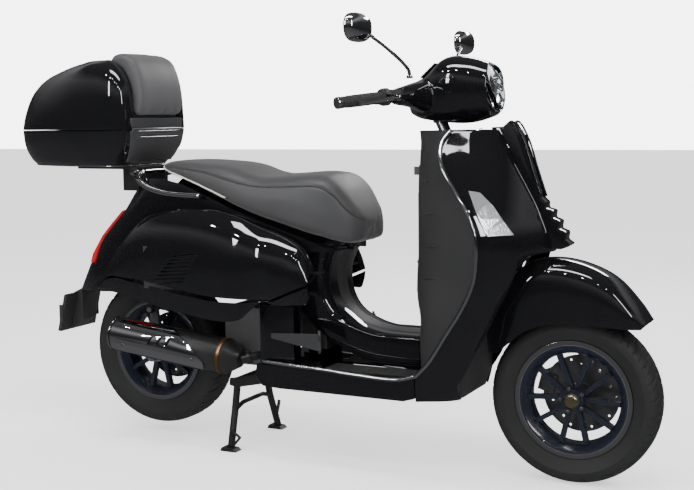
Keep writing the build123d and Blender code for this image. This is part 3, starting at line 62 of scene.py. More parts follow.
# ---- studio ------------------------------------------------------------------
# A pale floor that runs out of sight, one broad lamp above and two narrow ones beside the bodywork.
world = bpy.data.worlds.new("studio")
world.use_nodes = True
sky = world.node_tree
sky.nodes.clear()
pale = sky.nodes.new("ShaderNodeBackground")
pale.inputs["Color"].default_value = (1, 1, 1, 1)
pale.inputs["Strength"].default_value = 1.0
dim = sky.nodes.new("ShaderNodeBackground")
dim.inputs["Strength"].default_value = 1.0
aim = sky.nodes.new("ShaderNodeTexCoord")
height = sky.nodes.new("ShaderNodeSeparateXYZ")
hall = sky.nodes.new("ShaderNodeValToRGB")
HALL = ((0.0, 0.12), (0.42, 0.08), (0.5, 0.02), (0.6, 0.04), (0.72, 0.3), (0.8, 0.05), (1.0, 0.1))
for place, light in HALL[1:-1]:
    hall.color_ramp.elements.new(place)
for element, (place, light) in zip(hall.color_ramp.elements, HALL):
    element.position = place
    element.color = (light, light, light * 1.03, 1)
lift = sky.nodes.new("ShaderNodeMath")
lift.operation = "MULTIPLY_ADD"
lift.inputs[1].default_value = 0.5
lift.inputs[2].default_value = 0.5
sky.links.new(aim.outputs["Generated"], height.inputs[0])
sky.links.new(height.outputs["Z"], lift.inputs[0])
sky.links.new(lift.outputs[0], hall.inputs["Fac"])
sky.links.new(hall.outputs["Color"], dim.inputs["Color"])
ray = sky.nodes.new("ShaderNodeLightPath")
which = sky.nodes.new("ShaderNodeMixShader")
out = sky.nodes.new("ShaderNodeOutputWorld")
seen = sky.nodes.new("ShaderNodeBackground")
seen.inputs["Color"].default_value = (1, 1, 1, 1)
seen.inputs["Strength"].default_value = 6.0
direct = sky.nodes.new("ShaderNodeMixShader")
sky.links.new(ray.outputs["Is Glossy Ray"], which.inputs["Fac"])
sky.links.new(ray.outputs["Is Camera Ray"], direct.inputs["Fac"])
sky.links.new(pale.outputs[0], direct.inputs[1])
sky.links.new(seen.outputs[0], direct.inputs[2])
sky.links.new(direct.outputs[0], which.inputs[1])
sky.links.new(dim.outputs[0], which.inputs[2])
sky.links.new(which.outputs[0], out.inputs["Surface"])
bpy.context.scene.world = world


def softbox(name, place, aim, width, height, power):
    """A rectangular lamp at one point that faces another."""
    data = bpy.data.lights.new(name, "AREA")
    data.shape = "RECTANGLE"
    data.size = width
    data.size_y = height
    data.energy = power
    lamp = bpy.data.objects.new(name, data)
    lamp.location = place
    lamp.rotation_euler = (Vector(aim) - Vector(place)).to_track_quat("-Z", "Y").to_euler()
    bpy.context.scene.collection.objects.link(lamp)


softbox("top_lamp", (0.2, -0.6, 3.6), (0, 0, 0.5), 2.6, 0.5, 60)
softbox("front_lamp", (3.4, -1.6, 2.4), (0.4, 0, 0.7), 0.25, 1.8, 30)
softbox("side_lamp", (-1.6, -3.4, 2.6), (-0.3, 0, 0.6), 0.3, 1.6, 35)
softbox("far_lamp", (0.4, 3.4, 2.6), (0, 0, 0.6), 2.2, 0.4, 40)
for k in range(7):
    softbox(f"spot_{k}", (-1.8 + 0.7 * k, -1.9 - 0.25 * (k % 2), 3.3), (0, 0, 0.6), 0.07, 0.07, 4)

floor_mesh = bpy.data.meshes.new("studio_floor")
floor_mesh.from_pydata([(-30, -30, 0), (30, -30, 0), (30, 30, 0), (-30, 30, 0)], [], [(0, 1, 2, 3)])
floor = bpy.data.objects.new("studio_floor", floor_mesh)
bpy.context.scene.collection.objects.link(floor)
floor_paint = bpy.data.materials.new("floor_paint")
floor_paint.use_nodes = True
shader = floor_paint.node_tree.nodes["Principled BSDF"]
shader.inputs["Base Color"].default_value = (0.95, 0.95, 0.95, 1)
shader.inputs["Roughness"].default_value = 0.6
shader.inputs["Specular IOR Level"].default_value = 0.1
shader.inputs["Emission Color"].default_value = (1, 1, 1, 1)
shader.inputs["Emission Strength"].default_value = 0.9
floor_mesh.materials.append(floor_paint)
floor.visible_glossy = False


# ---- leg shield --------------------------------------------------------------
# The pressed steel shield that shelters the rider's legs, lacquered gloss black.
# One curved sheet, wrapped back at its edges and cut away round the front wheel.
def through(points, steps, closed=False):
    """Points on a smooth line that passes through each of the given ones."""
    given = [Vector(p) for p in points]
    count = len(given)
    line = []
    for i in range(count if closed else count - 1):
        b, c = given[i], given[(i + 1) % count]
        a = given[i - 1] if closed or i else b * 2 - c
        d = given[(i + 2) % count] if closed or i + 2 < count else c * 2 - b
        t1 = max((b - a).length, 0.001) ** 0.5
        t2 = t1 + max((c - b).length, 0.001) ** 0.5
        t3 = t2 + max((d - c).length, 0.001) ** 0.5
        for k in range(steps):
            t = t1 + (t2 - t1) * k / steps
            ab = a + (b - a) * (t / t1)
            bc = b + (c - b) * ((t - t1) / (t2 - t1))
            cd = c + (d - c) * ((t - t2) / (t3 - t2))
            first = ab + (bc - ab) * (t / t2)
            second = bc + (cd - bc) * ((t - t1) / (t3 - t1))
            line.append(first + (second - first) * ((t - t1) / (t2 - t1)))
    if not closed:
        line.append(given[-1])
    return line


def made(name, shape):
    """A new object from mesh data that is still in millimetres."""
    bmesh.ops.remove_doubles(shape, verts=shape.verts, dist=0.01)
    bmesh.ops.recalc_face_normals(shape, faces=shape.faces)
    bmesh.ops.scale(shape, vec=(MM, MM, MM), verts=shape.verts)
    mesh = bpy.data.meshes.new(name)
    shape.to_mesh(mesh)
    shape.free()
    piece = bpy.data.objects.new(name, mesh)
    bpy.context.scene.collection.objects.link(piece)
    return piece


def skin(name, sections, across, along, closed=False, caps=False):
    """A smooth surface through sections, each a list of points in millimetres."""
    rows = [through(section, across, closed) for section in sections]
    lines = [through(column, along) for column in zip(*rows)]
    shape = bmesh.new()
    grid = [[shape.verts.new(p) for p in line] for line in lines]
    count = len(grid)
    for i in range(count if closed else count - 1):
        one, two = grid[i], grid[(i + 1) % count]
        for k in range(len(one) - 1):
            shape.faces.new((one[k], two[k], two[k + 1], one[k + 1]))
    if caps:
        shape.faces.new([line[0] for line in grid])
        shape.faces.new([line[-1] for line in grid])
    return made(name, shape)


def prism(name, outline, low, high, axis=1):
    """A flat outline in millimetres carried from low to high along Y, or along Z with axis 2."""
    shape = bmesh.new()
    ends = []
    for place in (low, high):
        ends.append([shape.verts.new((a, place, b) if axis == 1 else (a, b, place)) for a, b in outline])
    shape.faces.new(ends[0])
    shape.faces.new(ends[1][::-1])
    for i in range(len(outline)):
        j = (i + 1) % len(outline)
        shape.faces.new((ends[0][i], ends[0][j], ends[1][j], ends[1][i]))
    return made(name, shape)


def settle(piece):
    """Applies the piece's modifiers, so that its mesh is the finished shape."""
    graph = bpy.context.evaluated_depsgraph_get()
    mesh = bpy.data.meshes.new_from_object(piece.evaluated_get(graph))
    piece.modifiers.clear()
    old = piece.data
    piece.data = mesh
    bpy.data.meshes.remove(old)
    mesh.name = piece.name
    return piece


def thicken(piece, thickness, offset=-1.0):
    """Gives a surface a wall, in millimetres."""
    wall = piece.modifiers.new("wall", "SOLIDIFY")
    wall.thickness = thickness * MM
    wall.offset = offset
    return settle(piece)


def cut(piece, *cutters):
    """Takes the cutters out of the piece and deletes them."""
    for cutter in cutters:
        tool = piece.modifiers.new("cut", "BOOLEAN")
        tool.operation = "DIFFERENCE"
        tool.object = cutter
        settle(piece)
        bpy.data.objects.remove(cutter)
    return piece


def soften(piece, width=0.8, angle=32):
    """Rounds the sharp edges by a width in millimetres and shades the rest smooth."""
    edge = piece.modifiers.new("edge", "BEVEL")
    edge.width = width * MM
    edge.segments = 2
    edge.limit_method = "ANGLE"
    edge.angle_limit = radians(angle)
    settle(piece)
    for face in piece.data.polygons:
        face.use_smooth = True
    piece.data.set_sharp_from_angle(angle=radians(angle + 8))
    return piece


def grain_group():
    """A node group: an uneven tint, an uneven gloss and a fine relief, all from the same noise."""
    tree = bpy.data.node_groups.new("grain", "ShaderNodeTree")
    face = tree.interface
    for name, kind, value in (("Color", "NodeSocketColor", (0.5, 0.5, 0.5, 1)), ("Tint", "NodeSocketFloat", 0.1),
                              ("Gloss", "NodeSocketFloat", 0.3), ("Spread", "NodeSocketFloat", 0.05),
                              ("Size", "NodeSocketFloat", 200.0)):
        face.new_socket(name, in_out="INPUT", socket_type=kind).default_value = value
    face.new_socket("Color", in_out="OUTPUT", socket_type="NodeSocketColor")
    face.new_socket("Roughness", in_out="OUTPUT", socket_type="NodeSocketFloat")
    face.new_socket("Height", in_out="OUTPUT", socket_type="NodeSocketFloat")
    given = tree.nodes.new("NodeGroupInput")
    result = tree.nodes.new("NodeGroupOutput")
    place = tree.nodes.new("ShaderNodeTexCoord")
    fine = tree.nodes.new("ShaderNodeTexNoise")
    fine.inputs["Detail"].default_value = 5
    broad = tree.nodes.new("ShaderNodeTexNoise")
    broad.inputs["Scale"].default_value = 7
    broad.inputs["Detail"].default_value = 4
    link = tree.links.new
    link(place.outputs["Object"], fine.inputs["Vector"])
    link(place.outputs["Object"], broad.inputs["Vector"])
    link(given.outputs["Size"], fine.inputs["Scale"])
    mean = tree.nodes.new("ShaderNodeMath")
    mean.operation = "ADD"
    link(fine.outputs["Fac"], mean.inputs[0])
    link(broad.outputs["Fac"], mean.inputs[1])
    signed = tree.nodes.new("ShaderNodeMath")
    signed.operation = "SUBTRACT"
    signed.inputs[1].default_value = 1.0
    link(mean.outputs[0], signed.inputs[0])
    tint = tree.nodes.new("ShaderNodeMath")
    tint.operation = "MULTIPLY_ADD"
    tint.inputs[2].default_value = 1.0
    link(signed.outputs[0], tint.inputs[0])
    link(given.outputs["Tint"], tint.inputs[1])
    shade = tree.nodes.new("ShaderNodeVectorMath")
    shade.operation = "SCALE"
    link(given.outputs["Color"], shade.inputs[0])
    link(tint.outputs[0], shade.inputs["Scale"])
    link(shade.outputs[0], result.inputs["Color"])
    gloss = tree.nodes.new("ShaderNodeMath")
    gloss.operation = "MULTIPLY_ADD"
    gloss.use_clamp = True
    link(signed.outputs[0], gloss.inputs[0])
    link(given.outputs["Spread"], gloss.inputs[1])
    link(given.outputs["Gloss"], gloss.inputs[2])
    link(gloss.outputs[0], result.inputs["Roughness"])
    link(fine.outputs["Fac"], result.inputs["Height"])
    return tree


grain = grain_group()


def finish(name, color, gloss, tint=0.2, spread=0.1, size=300, relief=0.1, texture=grain, **sockets):
    """A material whose tint, gloss and relief vary, with its constant values set on the shader itself."""
    material = bpy.data.materials.new(name)
    material.use_nodes = True
    tree = material.node_tree
    shader = tree.nodes["Principled BSDF"]
    skin_tone = tree.nodes.new("ShaderNodeGroup")
    skin_tone.node_tree = texture
    values = {"Color": (*color, 1), "Tint": tint, "Gloss": gloss, "Spread": spread, "Size": size}
    for socket, value in values.items():
        if socket in skin_tone.inputs:
            skin_tone.inputs[socket].default_value = value
    bump = tree.nodes.new("ShaderNodeBump")
    bump.inputs["Strength"].default_value = relief
    bump.inputs["Distance"].default_value = 0.0004
    tree.links.new(skin_tone.outputs["Color"], shader.inputs["Base Color"])
    tree.links.new(skin_tone.outputs["Roughness"], shader.inputs["Roughness"])
    tree.links.new(skin_tone.outputs["Height"], bump.inputs["Height"])
    tree.links.new(bump.outputs["Normal"], shader.inputs["Normal"])
    for socket, value in sockets.items():
        shader.inputs[socket.replace("_", " ")].default_value = value
    return material


def dress(material, *nodes):
    """Gives CAD nodes a material, and rounds their hard edges a little."""
    for name in nodes:
        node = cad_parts[name]
        node.data.materials.clear()
        node.data.materials.append(material)
        weld = node.modifiers.new("weld", "WELD")
        weld.merge_threshold = 0.00002
        edge = node.modifiers.new("edge", "BEVEL")
        edge.width = 0.0008
        edge.segments = 2
        edge.limit_method = "ANGLE"
        edge.angle_limit = radians(38)


def fit(piece, material, body, slot, *nodes):
    """Gives a new piece its material and body, and hides the CAD nodes that it stands for. The slot is not used."""
    piece.data.materials.clear()
    piece.data.materials.append(material)
    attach(piece, body)
    if nodes:
        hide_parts(*nodes)
    return piece


lacquer = finish("black_lacquer", (0.004, 0.004, 0.005), 0.035, spread=0.03, size=40, relief=0.02,
                 Coat_Weight=1.0, Coat_Roughness=0.02)
SHIELD_LEVELS = [
    (225, ((560, 0), (555, 60), (520, 140), (430, 190))),
    (302, ((585, 0), (580, 60), (560, 150), (441, 210))),
    (347, ((610, 0), (604, 60), (580, 155), (484, 215))),
    (425, ((652, 0), (646, 60), (618, 165), (535, 220))),
    (501, ((700, 0), (692, 60), (655, 165), (584, 225))),
    (576, ((745, 0), (735, 60), (695, 160), (619, 230))),
    (647, ((771, 0), (758, 60), (712, 160), (629, 235))),
    (697, ((765, 0), (752, 60), (706, 160), (626, 235))),
    (744, ((745, 0), (732, 60), (686, 160), (609, 230))),
    (813, ((712, 0), (700, 60), (650, 150), (565, 215))),
    (883, ((676, 0), (664, 55), (608, 135), (517, 195))),
    (943, ((644, 0), (632, 45), (575, 105), (499, 150))),
    (977, ((625, 0), (613, 37), (562, 83), (512, 113))),
]
ARCH_LINE = [(752, 642), (676, 622), (604, 562), (552, 470), (540, 400), (536, 226)]
ARCH_HALF = 152


def both_ways(half, z):
    """A half outline of (x, y) points and its mirror image, as one row of points at a height."""
    return [(x, -y, z) for x, y in reversed(half)] + [(x, y, z) for x, y in half[1:]]


shield = skin("leg_shield", [both_ways(half, z) for z, half in SHIELD_LEVELS], 8, 5)
thicken(shield, 3.5, 1.0 if shield.data.polygons[0].normal.x < 0 else -1.0)
cut(shield, prism("arch_tool", [(900, 642)] + ARCH_LINE + [(536, 190), (900, 190)], -ARCH_HALF, ARCH_HALF))
fit(soften(shield), lacquer, "chassis", "black_paint", "front_shield")

# The edge trim: a bright half-round strip clipped over the shield's edge, down to the floor.
chrome = finish("chrome_plate", (0.72, 0.72, 0.74), 0.045, tint=0.05, spread=0.05, size=120, relief=0.015, Metallic=1.0)


def tube(name, points, radius, steps=6, taper=None):
    """A smooth round bar in millimetres through a few points."""
    line = through(points, steps)
    sides = 16
    shape = bmesh.new()
    rings = []
    for i, place in enumerate(line):
        ahead = (line[min(i + 1, len(line) - 1)] - line[max(i - 1, 0)]).normalized()
        across = ahead.cross(Vector((0.13, 0.21, 1)).normalized()).normalized()
        over = across.cross(ahead)
        share = i / (len(line) - 1)
        size = radius * (1 + (taper - 1) * share if taper else 1)
        turns = [2 * pi * k / sides for k in range(sides)]
        rings.append([shape.verts.new(place + (across * cos(t) + over * sin(t)) * size) for t in turns])
    for one, two in zip(rings, rings[1:]):
        for k in range(sides):
            j = (k + 1) % sides
            shape.faces.new((one[k], one[j], two[j], two[k]))
    shape.faces.new(rings[0][::-1])
    shape.faces.new(rings[-1])
    return soften(made(name, shape), 0.6, 50)


for side, label in ((-1, "right"), (1, "left")):
    edge_line = [(half[-1][0] - 2, side * (half[-1][1] + 8), z) for z, half in reversed(SHIELD_LEVELS[1:])]
    trim = tube(f"{label}_edge_trim", edge_line, 5.6, 5)
    fit(trim, chrome, "chassis", "chrome", "shield_trim")


def islands(node, name, keep):
    """A copy of those separate solids of a CAD node whose box passes the test."""
    shape = bmesh.new()
    shape.from_mesh(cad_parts[node].data)
    bmesh.ops.remove_doubles(shape, verts=shape.verts, dist=0.00002)
    shape.verts.ensure_lookup_table()
    seen = set()
    gone = []
    for start in shape.verts:
        if start in seen:
            continue
        group, edge = [start], [start]
        seen.add(start)
        while edge:
            for link in edge.pop().link_edges:
                for end in link.verts:
                    if end not in seen:
                        seen.add(end)
                        group.append(end)
                        edge.append(end)
        places = np.array([v.co for v in group])
        if not keep(places.min(0), places.max(0)):
            gone += group
    bmesh.ops.delete(shape, geom=gone, context="VERTS")
    mesh = bpy.data.meshes.new(name)
    shape.to_mesh(mesh)
    shape.free()
    piece = bpy.data.objects.new(name, mesh)
    bpy.context.scene.collection.objects.link(piece)
    return soften(piece)


# The arch liner: a moulded black wall behind the front wheel, screwed inside the shield.
moulding = finish("black_moulding", (0.022, 0.022, 0.023), 0.5, tint=0.3, spread=0.2, size=900, relief=0.35)
liner = islands("front_shield", "arch_liner", lambda low, high: high[1] < 0.16)
fit(liner, moulding, "chassis", "black_plastic")

# ---- horn cover --------------------------------------------------------------
# The painted centre rib of the shield, with stepped fins at its foot and a raised line down each edge.
HORN_SIDE = [(626, 985), (650, 1002), (682, 955), (736, 790), (750, 778), (748, 762), (772, 756), (768, 736),
             (790, 728), (786, 706), (808, 698), (804, 676), (822, 664), (798, 650), (752, 650), (734, 697),
             (592, 985)]
horn = soften(prism("horn_rib", HORN_SIDE, -29, 29), 5, 20)
fit(horn, lacquer, "chassis", "black_paint", "horn_cover")
for side in (-1, 1):
    ridge = [(632, side * 27, 985), (654, side * 26, 1000), (684, side * 26, 955), (712, side * 26, 870),
             (738, side * 26, 792)]
    fit(tube(f"horn_ridge_{side + 1}", ridge, 3.2), lacquer, "chassis", "black_paint")
badge = soften(prism("horn_badge", [(671, 975), (675, 977), (682, 958), (678, 956)], -7, 7), 1)
fit(badge, chrome, "chassis", "chrome")

# ---- front mudguard ----------------------------------------------------------
# Pressed steel over the front wheel, lacquered like the shield and bolted to the steering stem.
# Each station: x and z of the crown, x and z of the lower edge, half width.
GUARD = [
    (590, 430, 601, 358, 66), (619, 512, 627, 361, 76), (653, 569, 668, 392, 86), (710, 614, 706, 423, 92),
    (785, 626, 771, 449, 94), (868, 611, 862, 456, 94), (940, 576, 930, 453, 91), (1003, 508, 985, 449, 82),
    (1036, 461, 1022, 447, 62),
]
SHARES = ((0, 1.0), (0.3, 0.995), (0.62, 0.97), (0.84, 0.84), (0.96, 0.5), (1.0, 0.0))


def guard_section(x1, z1, x0, z0, half):
    """One hoop of the mudguard, from its right lower edge over the crown to the left one."""
    side = [(x0 + (x1 - x0) * up, half * wide, z0 + (z1 - z0) * up) for up, wide in SHARES]
    return [(x, -y, z) for x, y, z in side] + [(x, y, z) for x, y, z in side[-2::-1]]


guard = skin("mudguard", [guard_section(*station) for station in GUARD], 7, 6)
thicken(guard, 3, 1.0 if guard.data.polygons[0].normal.y > 0 else -1.0)
fit(soften(guard), lacquer, "steering", "black_paint", "front_fender")

# ---- headset -----------------------------------------------------------------
# The painted cowl round the bars, in one piece with two short arms that the bars leave through.
HEADSET = [
    (350, 36, 1022, 1076), (376, 60, 1010, 1111), (407, 73, 1004, 1141), (449, 83, 999, 1177),
    (480, 88, 996, 1186), (521, 90, 996, 1182), (551, 88, 1001, 1175), (598, 80, 1016, 1158),
]
ARMS = [(404, 20, 1078, 50), (402, 70, 1073, 44), (398, 120, 1074, 35), (392, 175, 1072, 27), (386, 214, 1070, 21),
        (385, 221, 1070, 17)]


def hoop(x, half, low, high, points=12):
    """An upright oval section across the headset, fuller at its shoulders than an ellipse."""
    middle = (low + high) / 2
    ring = []
    for k in range(points):
        turn = 2 * pi * k / points
        y = abs(cos(turn)) ** 0.8 * (1 if cos(turn) > 0 else -1)
        z = abs(sin(turn)) ** 0.8 * (1 if sin(turn) > 0 else -1)
        ring.append((x, half * y, middle + (high - low) / 2 * z))
    return ring


headset = skin("headset", [hoop(*station) for station in HEADSET], 4, 5, True, True)
for side in (-1, 1):
    rings = []
    for x, y, z, r in ARMS:
        turns = [2 * pi * k / 10 for k in range(10)]
        rings.append([(x + r * cos(t), side * y, z + r * sin(t)) for t in turns])
    arm = skin("arm", rings, 4, 4, True, True)
    join = headset.modifiers.new("join", "BOOLEAN")
    join.operation = "UNION"
    join.object = arm
    settle(headset)
    bpy.data.objects.remove(arm)
remesh = headset.modifiers.new("remesh", "REMESH")
remesh.mode = "VOXEL"
remesh.voxel_size = 0.0035
relax = headset.modifiers.new("relax", "SMOOTH")
relax.iterations = 14
settle(headset)

LAMP_LOW = Vector((616, 0, 1030))
LAMP_TOP = Vector((575, 0, 1165))
lamp_up = (LAMP_TOP - LAMP_LOW).normalized()
lamp_out = Vector((lamp_up.z, 0, -lamp_up.x))
lamp_centre = (LAMP_LOW + LAMP_TOP) / 2


def lamp_ring(depth, share, points=32):
    """An oval of the headlamp at a depth along its axis, as a share of its full size."""
    ring = []
    for k in range(points):
        turn = 2 * pi * k / points
        place = lamp_centre + lamp_out * depth + lamp_up * (71 * share * sin(turn))
        ring.append((place.x, 80 * share * cos(turn), place.z))
    return ring


cut(headset, skin("lamp_tool", [lamp_ring(d, s) for d, s in ((-52, 0.5), (-40, 0.86), (-8, 0.955), (60, 0.955))],
                  1, 1, True, True))
fit(soften(headset, 0.6), lacquer, "steering", "black_paint", "headset_cover")

# The headlamp: a clear domed lens in a bright rim, over a fluted reflector with a bulb shade in its middle.
mirror = finish("reflector_coat", (0.85, 0.86, 0.88), 0.08, tint=0.04, spread=0.06, size=90, relief=0.02, Metallic=1.0)
glass = finish("clear_lens", (0.93, 0.95, 0.97), 0.02, tint=0.02, spread=0.02, size=60, relief=0.03,
               Transmission_Weight=1.0, IOR=1.2)
bowl = skin("lamp_reflector", [lamp_ring(d, s) for d, s in ((-16, 0.93), (-30, 0.84), (-42, 0.55), (-46, 0.2),
                                                          (-46, 0.05))], 1, 5, True, False)
for vertex in bowl.data.vertices:
    flute = sin(vertex.co.y / MM * pi / 7)
    vertex.co.x += 0.0014 * flute
thicken(bowl, 2)
fit(soften(bowl, 0.3), mirror, "steering", "clear_lens")
dome = skin("lamp_lens", [lamp_ring(d, s) for d, s in ((-14, 0.94), (-9, 0.945), (-2, 0.9), (6, 0.74), (11, 0.5),
                                                     (13.5, 0.25), (14, 0.04))], 1, 5, True, True)
fit(soften(dome, 0.2), glass, "steering", "clear_lens", "headlamp")
for k, (side, size) in enumerate(((-1, 21), (1, 21), (0, 30))):
    rings = []
    for depth, share in ((-44, 1.0), (-24, 0.98), (-18, 0.9), (-17, 0.7), (-22, 0.4), (-24, 0.1)):
        middle = lamp_centre + lamp_out * depth + lamp_up * (6 if side else -6)
        turns = [2 * pi * n / 20 for n in range(20)]
        rings.append([(middle.x + lamp_up.x * size * share * sin(t), side * 46 + size * share * cos(t),
                       middle.z + lamp_up.z * size * share * sin(t)) for t in turns])
    shade = skin(f"lamp_shade_{k}", rings, 1, 4, True, True)
    fit(soften(shade, 0.4), mirror, "steering", "clear_lens")
rim_line = [Vector(p) + lamp_out * 0 for p in lamp_ring(-9, 0.985, 20)]
rim = tube("lamp_rim", rim_line + rim_line[:1], 2.6, 4)
fit(rim, chrome, "steering", "chrome")

# ---- body and saddle column --------------------------------------------------
# The pressed steel body carries on under the seat. Its front is a waisted column that runs down into the tunnel,
# with a matte moulded strip along the middle, so that part is drawn here as one smooth sheet.
dress(lacquer, "floor_pan")
dress(moulding, "helmet_bin", "plate_holder", "switch_pods", "seat_base", "battery", "dash_panel",
      "starter_button", "horn_button", "turn_switch")
tail = islands("rear_body", "pressed_body", lambda low, high: True)
cut(tail, prism("column_tool", [(40, 285), (40, 615), (100, 628), (300, 628), (300, 285)], -250, 250))
fit(tail, lacquer, "chassis", "black_paint", "rear_body")
COLUMN = (  # x and z of its line, half width, how far its sides run back, and down
    (160, 652, 116, 120, 0), (146, 637, 116, 120, 0), (128, 610, 115, 120, 0), (113, 566, 112, 115, 0),
    (112, 526, 108, 112, 0), (124, 480, 104, 105, -8), (152, 441, 99, 90, -35), (203, 408, 93, 40, -70),
    (262, 393.5, 92, 8, -90), (334, 390.5, 92, 0, -96), (402, 390, 92, 0, -97),
)


def column_rows(share, proud):
    """Rows across the column's skin, out to a share of its half width."""
    rows = []
    for x, z, half, back_run, down_run in COLUMN:
        row = []
        for y in (-1, -1, -0.985, -0.9, -0.7, -0.35, 0, 0.35, 0.7, 0.9, 0.985, 1, 1):
            drop = abs(y) ** 5 * (26 if back_run > 60 else 10)
            total = max(hypot(back_run, down_run), 1)
            place = [x - drop * back_run / total, y * half * share, z + drop * down_run / total]
            row.append(place)
        if share == 1:
            row[0] = [x - back_run, -half, z + down_run]
            row[-1] = [x - back_run, half, z + down_run]
        rows.append([(px + proud * (1 if back_run > 60 else 0.3), py, pz + proud * (0 if back_run > 60 else 1))
                     for px, py, pz in row])
    return rows


column = thicken(skin("saddle_column", column_rows(1, 0), 3, 4), 2.5, 0.0)
fit(soften(column, 0.6), lacquer, "chassis", "black_paint")
strip = thicken(skin("column_strip", column_rows(0.52, 2.0), 3, 4), 2.5, 0.0)
fit(soften(strip, 0.8), moulding, "chassis", "black_plastic")

# ---- knee panel --------------------------------------------------------------
# The moulded inner panel closes the back of the leg shield: fine-grained, with raised ribs between its pockets,
# and an opening with a box behind it for the glovebox door.
KNEE_LEVELS = [
    (292, ((440, 0), (440, 96), (441, 150), (436, 200))),
    (347, ((425, 0), (425, 96), (430, 150), (477, 207))),
    (425, ((405, 0), (410, 80), (424, 130), (528, 212))),
    (501, ((388, 0), (393, 80), (440, 140), (576, 216))),
    (576, ((390, 0), (395, 82), (450, 140), (610, 221))),
    (647, ((397, 0), (400, 82), (460, 145), (620, 226))),
    (697, ((397, 0), (400, 82), (462, 145), (617, 226))),
    (744, ((397, 0), (400, 82), (452, 140), (600, 221))),
    (813, ((395, 0), (399, 78), (440, 130), (556, 206))),
    (883, ((391, 0), (397, 66), (430, 120), (508, 186))),
    (943, ((385, 0), (393, 50), (420, 90), (490, 141))),
    (976, ((375, 0), (386, 38), (420, 68), (502, 105))),
]


def along_levels(z, share):
    """A place on the knee panel's half outline at a height, by its share of the outline's points."""
    low = max(k for k in range(len(KNEE_LEVELS) - 1) if KNEE_LEVELS[k][0] <= z)
    mix = (z - KNEE_LEVELS[low][0]) / (KNEE_LEVELS[low + 1][0] - KNEE_LEVELS[low][0])
    ends = []
    for _, half in KNEE_LEVELS[low:low + 2]:
        place = share * (len(half) - 1)
        k = min(int(place), len(half) - 2)
        a, b = Vector(half[k]), Vector(half[k + 1])
        ends.append(a + (b - a) * (place - k))
    spot = ends[0] + (ends[1] - ends[0]) * mix
    return spot.x, spot.y


knee = skin("knee_panel", [both_ways(half, z) for z, half in KNEE_LEVELS], 8, 5)
thicken(knee, 2.5, 0.0)
cut(knee, prism("tunnel_tool", [(300, 200), (300, 392), (470, 392), (470, 200)], -93, 93),
    prism("door_tool", [(330, 600), (330, 800), (430, 800), (430, 600)], -73, 73))
fit(soften(knee, 0.8), moulding, "chassis", "black_plastic", "inner_shield")
for side in (-1, 1):
    for k, z in enumerate((560, 650, 740, 830)):
        ends = [along_levels(z, share) for share in (0.36, 0.5, 0.66, 0.8)]
        line = [(x - 2.0, side * y, z + 4 * n) for n, (x, y) in enumerate(ends)]
        fit(tube(f"knee_rib_{side + 1}_{k}", line, 3.2, 5), moulding, "chassis", "black_plastic")
    post = [(x - 2.0, side * y, z) for z in range(520, 900, 40) for x, y in [along_levels(z, 0.36)]]
    fit(tube(f"knee_post_{side + 1}", post, 3.2, 3), moulding, "chassis", "black_plastic")
pocket = prism("glovebox_pocket", [(400, 598), (400, 802), (480, 802), (480, 598)], -77, 77)
cut(pocket, prism("pocket_tool", [(390, 601), (390, 799), (477, 799), (477, 601)], -74, 74))
fit(soften(pocket, 0.8), moulding, "chassis", "black_plastic")
dress(moulding, "glovebox_door")

# ---- side cowls --------------------------------------------------------------
# The bulging pressed covers over the engine bay: an upper panel with eight slanted louvres, and a lower skirt.
COWL_TOP = ((-697, 486), (-672, 526), (-622, 592), (-572, 656), (-500, 716), (-430, 740), (-350, 752), (-270, 755),
            (-205, 747), (-150, 734), (-81, 709), (12, 680), (62, 650), (88, 610), (98, 570))
COWL_LOW = ((-697, 476), (-583, 468), (-444, 441), (-284, 417), (-175, 406), (-123, 418), (-82, 459), (-44, 486),
            (-20, 471), (88, 474), (98, 500))
COWL_SEAM = ((-697, 481), (-640, 527), (-479, 516), (-361, 499), (-222, 481), (-90, 480), (-19, 483), (98, 535))
COWL_PLAN = ((-697, 152), (-583, 189), (-444, 214), (-300, 230), (-150, 237), (-30, 234), (60, 218), (98, 196))
COWL_ROLL = ((0.0, 0.72), (0.18, 0.92), (0.38, 1.0), (0.58, 0.97), (0.76, 0.84), (0.9, 0.58), (1.0, 0.2))
STATIONS = (-697, -672, -622, -572, -500, -430, -350, -270, -205, -150, -118, -82, -44, -14, 30, 62, 88, 98)


def along(table, value):
    """The value read off a table of pairs."""
    return float(np.interp(value, [a for a, _ in table], [b for _, b in table]))


def cowl_point(x, z, side):
    """The cowl's outer surface at a place in its side view."""
    low = along(COWL_LOW, x)
    high = along(COWL_TOP, x)
    share = (z - low) / max(high - low, 1)
    return (x, side * (138 + (along(COWL_PLAN, x) - 138) * along(COWL_ROLL, share)), z)


def cowl_panel(name, side, low_table, high_table, rows):
    """Part of a cowl between two lines of its side view."""
    sections = []
    for x in STATIONS:
        low = along(low_table, x) + (0.8 if low_table is COWL_SEAM else 0)
        high = along(high_table, x) - (0.8 if high_table is COWL_SEAM else 0)
        sections.append([cowl_point(x, low + (high - low) * k / rows, side) for k in range(rows + 1)])
    panel = skin(name, sections, 3, 4)
    relax = panel.modifiers.new("relax", "SMOOTH")
    relax.iterations = 10
    settle(panel)
    outward = panel.data.polygons[len(panel.data.polygons) // 2].normal.y * side
    return thicken(panel, 3, -1.0 if outward > 0 else 1.0)


